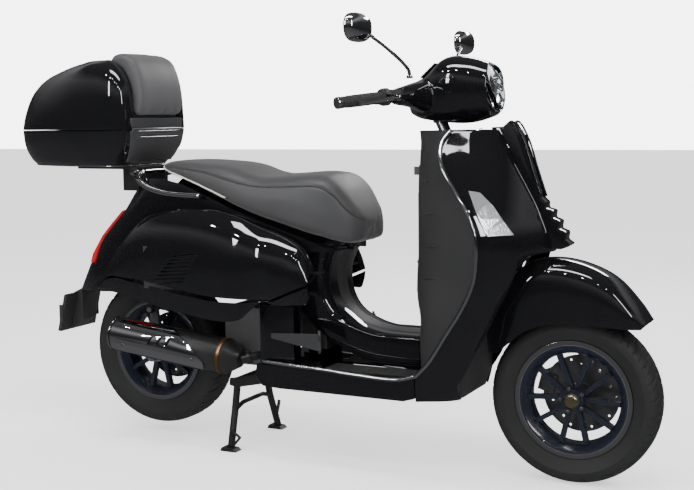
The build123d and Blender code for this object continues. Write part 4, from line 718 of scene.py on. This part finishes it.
for side, label in ((-1, "right"), (1, "left")):
    upper = cowl_panel(f"{label}_cowl_panel", side, COWL_SEAM, COWL_TOP, 7)
    slots = []
    for k in range(8):
        z, x0, rise = 612 - 12.5 * k, -348 - 12.5 * k, 6
        slot = [(x0, z - 2.6 - rise), (x0 + 92 + 4 * k, z - 2.6 + rise), (x0 + 96 + 4 * k, z + 2.6 + rise),
                (x0 + 4, z + 2.6 - rise)]
        slots.append(prism("slot", slot, min(side * 190, side * 260), max(side * 190, side * 260)))
    cut(upper, *slots)
    fit(soften(upper, 0.8), lacquer, "chassis", "black_paint", f"{label}_cowl")
    skirt = cowl_panel(f"{label}_cowl_skirt", side, COWL_LOW, COWL_SEAM, 3)
    fit(soften(skirt, 0.8), lacquer, "chassis", "black_paint")
    # A flat dark sheet just inside each cowl, behind the louvre slots: painted shade, so the slots look into darkness
    # as into the shaded engine bay.
    shade = prism(f"{label}_louvre_painted_shade", [(-470, 500), (-240, 500), (-240, 630), (-470, 630)],
                  side * 205 - 1.5, side * 205 + 1.5)
    fit(soften(shade), moulding, "chassis", "black_plastic")

# ---- wheels ------------------------------------------------------------------
# Cast alloy wheels, dark paint with a turned pale band at the edge, a drilled steel disc and a hub nut.
AXLES = {"front": (835, 236, 236, 60, 42), "rear": (-540, 272, 243, 65, 50)}
RIM_EDGE = 165
BAND = (0.1525, 0.1645)


def wheel_paint(name, x, z):
    """Dark wheel paint that stops at a turned, pale band near the rim's edge."""
    material = finish(name, (0.010, 0.012, 0.020), 0.22, tint=0.3, spread=0.1, size=500, relief=0.12, Coat_Weight=0.4)
    tree = material.node_tree
    shader = tree.nodes["Principled BSDF"]
    place = tree.nodes.new("ShaderNodeTexCoord")
    offset = tree.nodes.new("ShaderNodeVectorMath")
    offset.operation = "SUBTRACT"
    offset.inputs[1].default_value = (x * MM, 0, z * MM)
    flat = tree.nodes.new("ShaderNodeVectorMath")
    flat.operation = "MULTIPLY"
    flat.inputs[1].default_value = (1, 0, 1)
    reach = tree.nodes.new("ShaderNodeVectorMath")
    reach.operation = "LENGTH"
    inside = tree.nodes.new("ShaderNodeMapRange")
    inside.inputs["From Min"].default_value = BAND[0] - 0.0004
    inside.inputs["From Max"].default_value = BAND[0] + 0.0004
    tree.links.new(place.outputs["Object"], offset.inputs[0])
    tree.links.new(offset.outputs[0], flat.inputs[0])
    tree.links.new(flat.outputs[0], reach.inputs[0])
    tree.links.new(reach.outputs["Value"], inside.inputs["Value"])
    turned = tree.nodes.new("ShaderNodeMix")
    turned.data_type = "RGBA"
    turned.inputs["B"].default_value = (0.55, 0.55, 0.56, 1)
    painted = shader.inputs["Base Color"].links[0].from_socket
    tree.links.new(painted, turned.inputs["A"])
    tree.links.new(inside.outputs["Result"], turned.inputs["Factor"])
    tree.links.new(turned.outputs["Result"], shader.inputs["Base Color"])
    tree.links.new(inside.outputs["Result"], shader.inputs["Metallic"])
    return material


steel = finish("ground_steel", (0.45, 0.45, 0.46), 0.3, tint=0.15, spread=0.2, size=700, relief=0.2, Metallic=1.0)
dress(wheel_paint("front_wheel_paint", 835, 236), "front_rim")
dress(steel, "front_disc")
casting = islands("rear_rim", "rear_wheel_casting", lambda low, high: True)
fit(casting, wheel_paint("rear_wheel_paint", -540, 272), "rear_wheel", "wheel_paint", "rear_rim")


def turned(name, x, z, profile, sides=32):
    """A part turned about the wheel's axle line: pairs of radius and y."""
    rings = []
    for r, y in profile:
        rings.append([(x + r * cos(2 * pi * k / sides), y, z + r * sin(2 * pi * k / sides)) for k in range(sides)])
    shape = bmesh.new()
    grid = [[shape.verts.new(p) for p in ring] for ring in rings]
    for one, two in zip(grid, grid[1:]):
        for k in range(sides):
            j = (k + 1) % sides
            shape.faces.new((one[k], one[j], two[j], two[k]))
    if profile[0] != profile[-1]:
        shape.faces.new(grid[0])
        shape.faces.new(grid[-1])
    return made(name, shape)


brass = finish("axle_cap_metal", (0.62, 0.5, 0.3), 0.25, tint=0.1, spread=0.15, size=300, relief=0.08, Metallic=1.0)
cap = soften(turned("axle_cap", 835, 236, [(19, -58), (19, -62), (16, -65), (7, -66.5), (2, -66.7)]), 0.5)
fit(cap, brass, "front_suspension", "steel")
for k in range(5):
    turn = radians(72 * k + 35)
    bolt = turned(f"wheel_bolt_{k}", 835 + 33 * cos(turn), 236 + 33 * sin(turn), [(6.5, -44), (6.5, -49), (5, -51), (1, -51)], 6)
    fit(soften(bolt, 0.5), steel, "front_wheel", "steel")

# ---- tyres -------------------------------------------------------------------
# Black rubber, moulded with slanted grooves that meet in a V on the crown, and fine rings on the side wall.
tyre_rubber = finish("tyre_rubber", (0.013, 0.013, 0.014), 0.62, tint=0.3, spread=0.2, size=800, relief=0.4)


def tyre(label, x, z, outer, half, rim_half, tread=30, turns=600, steps=56):
    """One tyre as a dense ring whose crown is pressed in along the grooves."""
    middle = (outer + RIM_EDGE) / 2
    lip = rim_half - 6.3
    profile = [(152.5, -lip), (RIM_EDGE + 1.5, -lip), (RIM_EDGE + 1.7, -lip - 3.6)]
    for k in range(steps + 1):
        turn = pi * k / steps
        across = cos(turn)
        y = -half * (abs(across) ** 0.62) * (1 if across > 0 else -1)
        profile.append((middle + (outer - middle) * sin(turn), y))
    profile += [(RIM_EDGE + 1.7, lip + 3.6), (RIM_EDGE + 1.5, lip), (152.5, lip)]
    shape = bmesh.new()
    rings = []
    for n in range(turns):
        turn = 2 * pi * n / turns
        ring = []
        for r, y in profile:
            depth = 0.0
            wide = abs(y) / half
            if r > middle + 0.42 * (outer - middle):
                phase = (n / turns * tread + wide * 0.9 + (0.5 if y > 0 else 0)) % 1.0
                if 0.1 < wide < 0.82 and phase < 0.13:
                    depth = 3.2
                narrow = (n / turns * tread * 2 + wide * 1.4) % 1.0
                if 0.5 < wide < 0.93 and narrow < 0.12:
                    depth = 2.2
            elif r > RIM_EDGE + 6 and abs(r - middle - 6) < 1.6:
                depth = -0.5
            ring.append(shape.verts.new((x + (r - depth) * cos(turn), y, z + (r - depth) * sin(turn))))
        rings.append(ring)
    for n in range(turns):
        one, two = rings[n], rings[(n + 1) % turns]
        for k in range(len(profile) - 1):
            shape.faces.new((one[k], one[k + 1], two[k + 1], two[k]))
    piece = made(f"{label}_tread", shape)
    for face in piece.data.polygons:
        face.use_smooth = True
    piece.data.set_sharp_from_angle(angle=radians(30))
    return piece


for label, place in AXLES.items():
    fit(tyre(label, *place), tyre_rubber, f"{label}_wheel", "tyre", f"{label}_tyre")

# ---- running gear ------------------------------------------------------------
# Cast alloy link, casings and caliper, black springs and frame, plain steel shafts.
alloy = finish("cast_alloy", (0.33, 0.33, 0.34), 0.42, tint=0.3, spread=0.25, size=450, relief=0.4, Metallic=0.9)
black_steel = finish("black_steel", (0.012, 0.012, 0.012), 0.4, tint=0.4, spread=0.25, size=350, relief=0.25)
dress(alloy, "front_link", "engine_case", "transmission_cover", "front_caliper", "radiators")
dress(black_steel, "head_tube", "stand_bracket", "muffler", "centre_stand", "carrier", "front_shock",
      "rear_shocks")
tank = islands("fuel_tank", "tank_shell", lambda low, high: True)
cut(tank, prism("tank_tool", [(100, 300), (100, 660), (200, 660), (200, 300)], -200, 200))
fit(tank, black_steel, "chassis", "dark_steel", "fuel_tank")
dress(steel, "hinge_pins", "ignition_key", "steering_stem", "handlebar")
dress(chrome, "heat_shield", "right_lever", "left_lever")
satin = finish("polished_alloy", (0.6, 0.6, 0.62), 0.2, tint=0.1, spread=0.15, size=250, relief=0.1, Metallic=1.0)
dress(satin, "right_footrest", "left_footrest")


def band(name, centre, ahead, radius, width, height):
    """A flat band round a pipe: a ring with square shoulders."""
    ahead = Vector(ahead).normalized()
    across = ahead.cross(Vector((0, 0, 1))).normalized()
    over = across.cross(ahead)
    shape = bmesh.new()
    grid = []
    for far, reach in ((-width / 2, radius), (-width / 2, radius + height), (width / 2, radius + height),
                       (width / 2, radius)):
        turns = [2 * pi * k / 40 for k in range(40)]
        grid.append([shape.verts.new(Vector(centre) + ahead * far + (across * cos(t) + over * sin(t)) * reach)
                     for t in turns])
    for n in range(4):
        one, two = grid[n], grid[(n + 1) % 4]
        for k in range(40):
            j = (k + 1) % 40
            shape.faces.new((one[k], one[j], two[j], two[k]))
    return soften(made(name, shape), 0.6)


copper = finish("clamp_bronze", (0.5, 0.27, 0.13), 0.35, tint=0.25, spread=0.2, size=300, relief=0.2, Metallic=1.0)
PIPE_AHEAD = (407, 0, -42)
fit(band("silencer_clamp", (-214, -150, 297), PIPE_AHEAD, 54, 12, 3), copper, "engine", "steel")
fit(band("silencer_seam", (-618, -150, 338.6), PIPE_AHEAD, 45, 6, 9.5), chrome, "engine", "chrome")

# ---- floor mats --------------------------------------------------------------
# Black rubber ribs glued to the floor, and a bright strip along each edge.
rubber = finish("black_rubber", (0.016, 0.016, 0.016), 0.55, tint=0.3, spread=0.2, size=900, relief=0.4)
mats = islands("floor_strips", "floor_ribs", lambda low, high: max(abs(low[1]), abs(high[1])) < 0.196)
fit(mats, rubber, "chassis", "rubber", "floor_strips")
for side, label in ((-1, "right"), (1, "left")):
    sill = [(438, side * 210, 302), (381, side * 208, 287), (240, side * 204, 289), (152, side * 201, 294),
            (29, side * 198, 298), (-60, side * 190, 300)]
    fit(tube(f"{label}_sill_strip", sill, 5.5, 6), satin, "chassis", "chrome")

# ---- lamps -------------------------------------------------------------------
# Clear front turn lamps and a red tail lamp, each in one material over its whole CAD node, so the turn lamps' bright
# rim and the tail lamp's clear strip are not set apart; the headlamp node gets the clear lens.
ruby = finish("red_lens", (0.45, 0.008, 0.012), 0.06, tint=0.25, spread=0.05, size=30, relief=0.05, Coat_Weight=1.0)
pearl = finish("clear_cover", (0.62, 0.64, 0.66), 0.1, tint=0.25, spread=0.1, size=160, relief=0.9, Coat_Weight=1.0,
               Metallic=0.7)
dress(pearl, "front_indicators")
dress(ruby, "tail_lamp")
dress(glass, "headlamp")

# ---- rail and mirrors --------------------------------------------------------
# The chromed grab rail is one bent tube; each mirror is a domed chrome shell on a bent stalk.
RAIL = [(-285, 160, 784), (-352, 160, 786), (-420, 158, 792), (-478, 155, 806), (-520, 145, 826), (-548, 122, 840),
        (-562, 90, 848), (-568, 60, 851)]
rail_line = RAIL + [(x, -y, z) for x, y, z in reversed(RAIL)]
rail = tube("grab_rail_tube", rail_line, 9, 5)
fit(rail, chrome, "chassis", "chrome", "grab_rail")
silvered = finish("mirror_face", (0.9, 0.9, 0.92), 0.01, tint=0.01, spread=0.01, size=20, relief=0.0, Metallic=1.0)
for side, label in ((-1, "right"), (1, "left")):
    centre = Vector((362, side * 388, 1246))
    rings = []
    for depth, share in ((-13, 0.9), (-13.5, 0.97), (-9, 1.0), (0, 0.98), (9, 0.88), (16, 0.66), (19.5, 0.36), (20.5, 0.08)):
        turns = [2 * pi * k / 24 for k in range(24)]
        ring = []
        for t in turns:
            wide = abs(cos(t)) ** 0.72 * (1 if cos(t) > 0 else -1)
            tall = abs(sin(t)) ** 0.78 * (1 if sin(t) > 0 else -1)
            ring.append((centre.x + depth, centre.y + 66 * share * wide, centre.z + 37.5 * share * tall))
        rings.append(ring)
    shell = skin(f"{label}_mirror_shell", rings, 2, 4, True, True)
    fit(soften(shell, 0.5), chrome, f"mirror_{label}", "chrome", f"{label}_mirror")
    face = []
    for depth, share in ((-13.8, 0.94), (-14, 0.9), (-14, 0.02)):
        face.append([(centre.x + depth, centre.y + 66 * share * abs(cos(t)) ** 0.72 * (1 if cos(t) > 0 else -1),
                      centre.z + 37.5 * share * abs(sin(t)) ** 0.78 * (1 if sin(t) > 0 else -1)) for t in turns])
    fit(soften(skin(f"{label}_mirror_glass", face, 2, 1, True, True), 0.2), silvered, f"mirror_{label}", "chrome")
    stalk = [(402, side * 152, 1126), (401, side * 154, 1140), (398, side * 180, 1158), (384, side * 262, 1198),
             (370, side * 335, 1228)]
    fit(tube(f"{label}_mirror_stalk", stalk, 5, 6), chrome, f"mirror_{label}", "chrome")
    foot = band(f"{label}_mirror_foot", (402, side * 152, 1125), (0, 0.02, 1), 4, 8, 5)
    fit(foot, chrome, f"mirror_{label}", "chrome")

# ---- grips -------------------------------------------------------------------
# Soft black rubber grips with a flange, raised rings and a bright end weight.
for side, label, body, node in ((-1, "right", "throttle", "throttle_grip"), (1, "left", "steering", "left_grip")):
    start = Vector((368, side * 252, 1069))
    end = Vector((296, side * 366, 1055))
    ahead = (end - start).normalized()
    across = ahead.cross(Vector((0, 0, 1))).normalized()
    over = across.cross(ahead)
    length = (end - start).length
    shape = bmesh.new()
    rings = []
    places = [(4, 11.2), (4, 22), (6.5, 22.4), (9, 22), (9.4, 16.6)]
    for k in range(60):
        far = 10 + (length - 14) * k / 59
        bulge = 0.6 * sin(pi * k / 59) + (0.9 if (k // 2) % 2 and 4 < k < 54 else 0)
        places.append((far, 15.4 + bulge))
    places += [(length - 1.5, 15.5), (length - 0.6, 11.2)]
    for far, reach in places:
        turns = [2 * pi * k / 40 for k in range(40)]
        rings.append([shape.verts.new(start + ahead * far + (across * cos(t) + over * sin(t)) * reach) for t in turns])
    for one, two in zip(rings, rings[1:]):
        for k in range(40):
            j = (k + 1) % 40
            shape.faces.new((one[k], one[j], two[j], two[k]))
    sleeve = soften(made(f"{label}_grip_rubber", shape), 0.2)
    fit(sleeve, rubber, body, "rubber", node)
    fit(band(f"{label}_bar_end_ring", end + ahead * 7, ahead, 14.6, 11, 1.5), chrome, "steering", "chrome")

# ---- seat --------------------------------------------------------------------
# Moulded foam under charcoal vinyl: a low rider's part, a raised passenger's part, a grooved seam all round
# and thin off-white piping along the tail. It is pulled down over the pan and stapled beneath.
SEAT = [
    (-488, 58, 868, 876), (-470, 92, 860, 882), (-440, 118, 849, 886), (-389, 139, 838, 888), (-300, 155, 806, 884),
    (-240, 161, 782, 879), (-200, 164, 766, 871), (-150, 167, 746, 854), (-100, 170, 729, 845), (-40, 171, 711, 846),
    (20, 170, 694, 850), (70, 166, 680, 853), (112, 158, 670, 848), (150, 146, 659, 822), (182, 130, 653, 780),
    (206, 106, 652, 742), (220, 76, 660, 714),
]
SEAT_SHAPE = ((0.82, 0.0), (0.97, 0.1), (1.0, 0.32), (0.97, 0.6), (0.9, 0.82), (0.72, 0.95), (0.42, 1.0), (0.0, 1.02))


def hide_group():
    """A node group for grained vinyl: small closed cells with a soft tint and gloss."""
    tree = bpy.data.node_groups.new("hide", "ShaderNodeTree")
    face = tree.interface
    for name, kind, value in (("Color", "NodeSocketColor", (0.5, 0.5, 0.5, 1)), ("Tint", "NodeSocketFloat", 0.1),
                              ("Gloss", "NodeSocketFloat", 0.3), ("Spread", "NodeSocketFloat", 0.05),
                              ("Size", "NodeSocketFloat", 400.0)):
        face.new_socket(name, in_out="INPUT", socket_type=kind).default_value = value
    face.new_socket("Color", in_out="OUTPUT", socket_type="NodeSocketColor")
    face.new_socket("Roughness", in_out="OUTPUT", socket_type="NodeSocketFloat")
    face.new_socket("Height", in_out="OUTPUT", socket_type="NodeSocketFloat")
    given = tree.nodes.new("NodeGroupInput")
    result = tree.nodes.new("NodeGroupOutput")
    place = tree.nodes.new("ShaderNodeTexCoord")
    cells = tree.nodes.new("ShaderNodeTexVoronoi")
    wear = tree.nodes.new("ShaderNodeTexNoise")
    wear.inputs["Scale"].default_value = 9
    link = tree.links.new
    link(place.outputs["Object"], cells.inputs["Vector"])
    link(place.outputs["Object"], wear.inputs["Vector"])
    link(given.outputs["Size"], cells.inputs["Scale"])
    signed = tree.nodes.new("ShaderNodeMath")
    signed.operation = "SUBTRACT"
    signed.inputs[1].default_value = 0.5
    link(wear.outputs["Fac"], signed.inputs[0])
    tint = tree.nodes.new("ShaderNodeMath")
    tint.operation = "MULTIPLY_ADD"
    tint.inputs[2].default_value = 1.0
    link(signed.outputs[0], tint.inputs[0])
    link(given.outputs["Tint"], tint.inputs[1])
    shade = tree.nodes.new("ShaderNodeVectorMath")
    shade.operation = "SCALE"
    link(given.outputs["Color"], shade.inputs[0])
    link(tint.outputs[0], shade.inputs["Scale"])
    gloss = tree.nodes.new("ShaderNodeMath")
    gloss.operation = "MULTIPLY_ADD"
    gloss.use_clamp = True
    link(signed.outputs[0], gloss.inputs[0])
    link(given.outputs["Spread"], gloss.inputs[1])
    link(given.outputs["Gloss"], gloss.inputs[2])
    link(shade.outputs[0], result.inputs["Color"])
    link(gloss.outputs[0], result.inputs["Roughness"])
    link(cells.outputs["Distance"], result.inputs["Height"])
    return tree


hide = hide_group()
vinyl = finish("charcoal_vinyl", (0.040, 0.040, 0.042), 0.46, tint=0.35, spread=0.2, size=650, relief=0.35, texture=hide,
               Sheen_Weight=0.15, Sheen_Roughness=0.4)
soft_vinyl = finish("grey_vinyl", (0.058, 0.058, 0.061), 0.5, tint=0.3, spread=0.2, size=650, relief=0.3, texture=hide,
                    Sheen_Weight=0.15, Sheen_Roughness=0.4)
cream = finish("piping_cord", (0.62, 0.6, 0.54), 0.45, tint=0.15, spread=0.1, size=900, relief=0.2)


def stuffed(piece, voxel, most, pressure=4.0):
    """Blows the closed form up as a cushion under its cover, no further than most millimetres anywhere."""
    remesh = piece.modifiers.new("remesh", "REMESH")
    remesh.mode = "VOXEL"
    remesh.voxel_size = voxel * MM
    settle(piece)
    start = np.array([v.co for v in piece.data.vertices])
    cloth = piece.modifiers.new("cloth", "CLOTH")
    cloth.settings.quality = 5
    cloth.settings.use_pressure = True
    cloth.settings.uniform_pressure_force = pressure
    cloth.settings.effector_weights.gravity = 0
    for step in range(1, 21):
        bpy.context.scene.frame_set(step)
    graph = bpy.context.evaluated_depsgraph_get()
    blown = np.array([v.co for v in piece.evaluated_get(graph).data.vertices])
    piece.modifiers.clear()
    bpy.context.scene.frame_set(1)
    move = blown - start
    reach = np.linalg.norm(move, axis=1)
    move *= np.minimum(1.0, most * MM / np.maximum(reach, 1e-9))[:, None]
    piece.data.vertices.foreach_set("co", (start + move).ravel())
    calm = piece.modifiers.new("calm", "SMOOTH")
    calm.iterations = 8
    finer = piece.modifiers.new("finer", "SUBSURF")
    finer.levels = 1
    finer.render_levels = 1
    settle(piece)
    for face in piece.data.polygons:
        face.use_smooth = True
    return piece


def laid_on(piece, points, steps, proud=0.2):
    """A smooth line through the points, dropped onto the nearest place of the piece's surface."""
    line = []
    for place in through(points, steps):
        hit, spot, normal, _ = piece.closest_point_on_mesh(place * MM)
        line.append((spot + normal * proud * MM) / MM)
    return line


def pressed(piece, line, width, depth):
    """Presses a groove of a width and a depth in millimetres into the piece along a line."""
    marks = np.array([p[:] for p in line]) * MM
    places = np.array([v.co for v in piece.data.vertices])
    normals = np.array([v.normal for v in piece.data.vertices])
    for first in range(0, len(places), 4000):
        part = slice(first, first + 4000)
        gap = np.linalg.norm(places[part][:, None] - marks[None], axis=2).min(1)
        sink = depth * MM * np.exp(-(gap / (width * MM)) ** 2)
        places[part] -= normals[part] * sink[:, None]
    piece.data.vertices.foreach_set("co", places.ravel())
    piece.data.update()


seat_rings = []
for x, half, low, high in SEAT:
    inset = 3
    ring = [(x, (half - inset) * wide, low + 2 + (high - low - 2 - inset) * up) for wide, up in SEAT_SHAPE]
    seat_rings.append(ring + [(x, -y, z) for x, y, z in ring[-2::-1]])
seat = stuffed(skin("seat_cover", seat_rings, 3, 4, True, True), 5, 4)
SEAM = [(-470, 100, 876), (-400, 128, 872), (-300, 144, 862), (-204, 152, 838), (-99, 157, 822), (31, 157, 824),
        (112, 148, 822), (160, 132, 792), (196, 108, 748), (216, 60, 716)]
for side in (-1, 1):
    seam_line = laid_on(seat, [(x, side * y, z) for x, y, z in SEAM], 12, 0)
    pressed(seat, seam_line, 4.5, 2.6)
    welt = tube(f"seat_welt_{side + 1}", seam_line, 1.3, 1)
    fit(welt, vinyl, "seat", "seat_vinyl")
fit(seat, vinyl, "seat", "seat_vinyl", "seat_cushion")
PIPING = [(-486, 60, 872), (-462, 104, 860), (-420, 130, 845), (-365, 147, 827), (-290, 158, 806), (-205, 166, 772)]
for side in (-1, 1):
    piping = laid_on(seat, [(x, side * y, z) for x, y, z in PIPING], 10, 1.0)
    fit(tube(f"seat_piping_{side + 1}", piping, 2.3, 1), cream, "seat", "seat_vinyl")

# ---- top case ----------------------------------------------------------------
# A two-part gloss black box: a tub and a domed lid on hinges, with a bright line at the split.
gloss = finish("gloss_black_shell", (0.005, 0.005, 0.006), 0.04, spread=0.03, size=40, relief=0.02, Coat_Weight=1.0,
               Coat_Roughness=0.02)
TUB = [
    (868.5, ((-599, 0), (-599, 60), (-601, 103), (-617, 126), (-666, 139), (-735, 136), (-803, 129), (-880, 110),
             (-954, 85), (-1008, 44), (-1023, 0))),
    (888, ((-588, 0), (-588, 70), (-589, 117), (-608, 144), (-681, 158), (-750, 154), (-814, 146), (-895, 127),
           (-967, 100), (-1028, 48), (-1041, 0))),
    (930, ((-560, 0), (-560, 90), (-561, 144), (-585, 169), (-690, 179), (-765, 174), (-830, 161), (-912, 138),
           (-986, 108), (-1052, 51), (-1064, 0))),
    (984, ((-550, 0), (-550, 95), (-551, 155), (-575, 180), (-691, 186), (-770, 179), (-843, 165), (-925, 140),
           (-1000, 108), (-1060, 51), (-1070, 0))),
]
DOME = [
    (987, ((-550, 0), (-550, 95), (-551, 155), (-575, 180), (-691, 186), (-770, 179), (-843, 165), (-925, 140),
           (-1000, 108), (-1060, 51), (-1070, 0))),
    (1030, ((-552, 0), (-552, 95), (-553, 155), (-576, 180), (-691, 186), (-768, 178), (-842, 164), (-916, 138),
            (-983, 104), (-1053, 49), (-1066, 0))),
    (1100, ((-557, 0), (-557, 93), (-558, 153), (-581, 178), (-691, 181), (-760, 171), (-826, 153), (-882, 131),
            (-934, 102), (-1019, 47), (-1036, 0))),
    (1150, ((-575, 0), (-575, 90), (-577, 148), (-599, 168), (-691, 169), (-746, 159), (-797, 141), (-842, 121),
            (-884, 97), (-961, 46), (-977, 0))),
    (1186, ((-602, 0), (-602, 80), (-605, 131), (-625, 148), (-691, 147), (-724, 139), (-756, 123), (-788, 106),
            (-819, 88), (-870, 40), (-882, 0))),
    (1206, ((-638, 0), (-638, 55), (-639, 94), (-650, 108), (-691, 107), (-709, 100), (-727, 90), (-745, 78),
            (-764, 64), (-795, 32), (-802, 0))),
]


def loop(half, z):
    """A closed row of points at a height: a half outline and its mirror image."""
    return [(x, y, z) for x, y in half] + [(x, -y, z) for x, y in half[-2:0:-1]]


tub = skin("case_tub", [loop(half, z) for z, half in TUB], 4, 6, True)
shape = bmesh.new()
shape.from_mesh(tub.data)
low = min(v.co.z for v in shape.verts)
bmesh.ops.edgeloop_fill(shape, edges=[e for e in shape.edges if e.is_boundary and e.verts[0].co.z < low + 0.001])
bmesh.ops.recalc_face_normals(shape, faces=shape.faces)
shape.to_mesh(tub.data)
shape.free()
fit(soften(thicken(tub, 3), 1.0), gloss, "chassis", "black_paint", "top_case_base")
dome = skin("case_dome", [loop(half, z) for z, half in DOME], 4, 6, True)
shape = bmesh.new()
shape.from_mesh(dome.data)
high = max(v.co.z for v in shape.verts)
bmesh.ops.edgeloop_fill(shape, edges=[e for e in shape.edges if e.is_boundary and e.verts[0].co.z > high - 0.001])
bmesh.ops.recalc_face_normals(shape, faces=shape.faces)
shape.to_mesh(dome.data)
shape.free()
thicken(dome, 3)
PAD_SIDE = [(-542, 1028), (-528, 1050), (-526, 1100), (-537, 1160), (-563, 1206), (-606, 1226), (-634, 1222),
            (-648, 1205), (-606, 1185), (-577, 1140), (-563, 1090), (-561, 1028)]
PAD_BACK = [(-559.5, 1024), (-564.5, 1090), (-578.5, 1140), (-607, 1186), (-647, 1206)]
PAD_HALF = 122
cut(dome, prism("pad_tool", PAD_BACK + [(-647, 1300), (-480, 1300), (-480, 1024)], -PAD_HALF - 2, PAD_HALF + 2))
fit(soften(dome, 1.0), gloss, "case_lid", "black_paint", "top_case_lid")
ledge = [[(x, y, z) for x, z in PAD_BACK] for y in (-PAD_HALF - 2, -61, 0, 61, PAD_HALF + 2)]
fit(soften(thicken(skin("pad_backing", ledge, 6, 1), 2.5), 0.4), moulding, "case_lid", "black_plastic")

# The backrest: a soft pad of grey vinyl, moulded round the lid's front edge and screwed on from inside.
pad_rings = []
for y, inward in ((-119, 16), (-114, 7), (-100, 3), (-55, 2), (0, 1), (55, 2), (100, 3), (114, 7), (119, 16)):
    middle = Vector((-580, 0, 1150))
    ring = []
    for x, z in PAD_SIDE:
        away = Vector((x, 0, z)) - middle
        place = middle + away * (1 - inward / away.length)
        ring.append((place.x, y, place.z))
    pad_rings.append(ring)
pad = stuffed(skin("backrest", pad_rings, 3, 4, True, True), 5, 5)
fit(pad, soft_vinyl, "case_lid", "pad_vinyl", "backrest_pad")

# The face toward the rider: a satin grey panel on each half with two thin bright lines, and a silver lower edge.
panel_grey = finish("satin_grey_panel", (0.035, 0.035, 0.037), 0.42, tint=0.2, spread=0.15, size=700, relief=0.25)
for name, body, floor_z, ceiling, tuck in (("case_face_low", "chassis", 884, 982, 36), ("case_face_high", "case_lid", 990, 1022, 3)):
    rows = []
    for k in range(7):
        z = floor_z + (ceiling - floor_z) * k / 6
        lean = tuck * ((ceiling - z) / (ceiling - floor_z)) ** 2
        half = 143 - 0.6 * lean
        rows.append([(-547 - lean - (3 if abs(y) > 0.99 else 0), y * half, z) for y in (-1, -0.97, -0.5, 0, 0.5, 0.97, 1)])
    fit(soften(thicken(skin(name, rows, 3, 2), 2.0, 0.0), 0.5), panel_grey, body, "black_plastic")
for z, half in ((981, 138), (962, 120)):
    line = [(-545.6 - (0 if z > 970 else 1.5), y, z) for y in (-half, 0, half)]
    fit(tube(f"case_bright_line_{z}", line, 1.6, 4), chrome, "chassis", "chrome")
edge = [(x + (2 if x > -640 else -2), y * 1.01, 871) for x, y, _ in loop(TUB[0][1], 868)]
fit(tube("case_lower_edge", edge + edge[:1], 2.2, 4), satin, "chassis", "chrome")
for side, label in ((-1, "right"), (1, "left")):
    horn_end = prism(f"{label}_rack_end", [(-596, 862), (-572, 864), (-548, 852), (-546, 838), (-572, 832), (-596, 844)],
                     min(side * 76, side * 94), max(side * 76, side * 94))
    fit(soften(horn_end, 3), chrome, "chassis", "chrome")
    bolt = band(f"{label}_rack_bolt", (-574, side * 95.5, 848), (0, 1, 0), 1.0, 3, 6)
    fit(bolt, steel, "chassis", "steel")
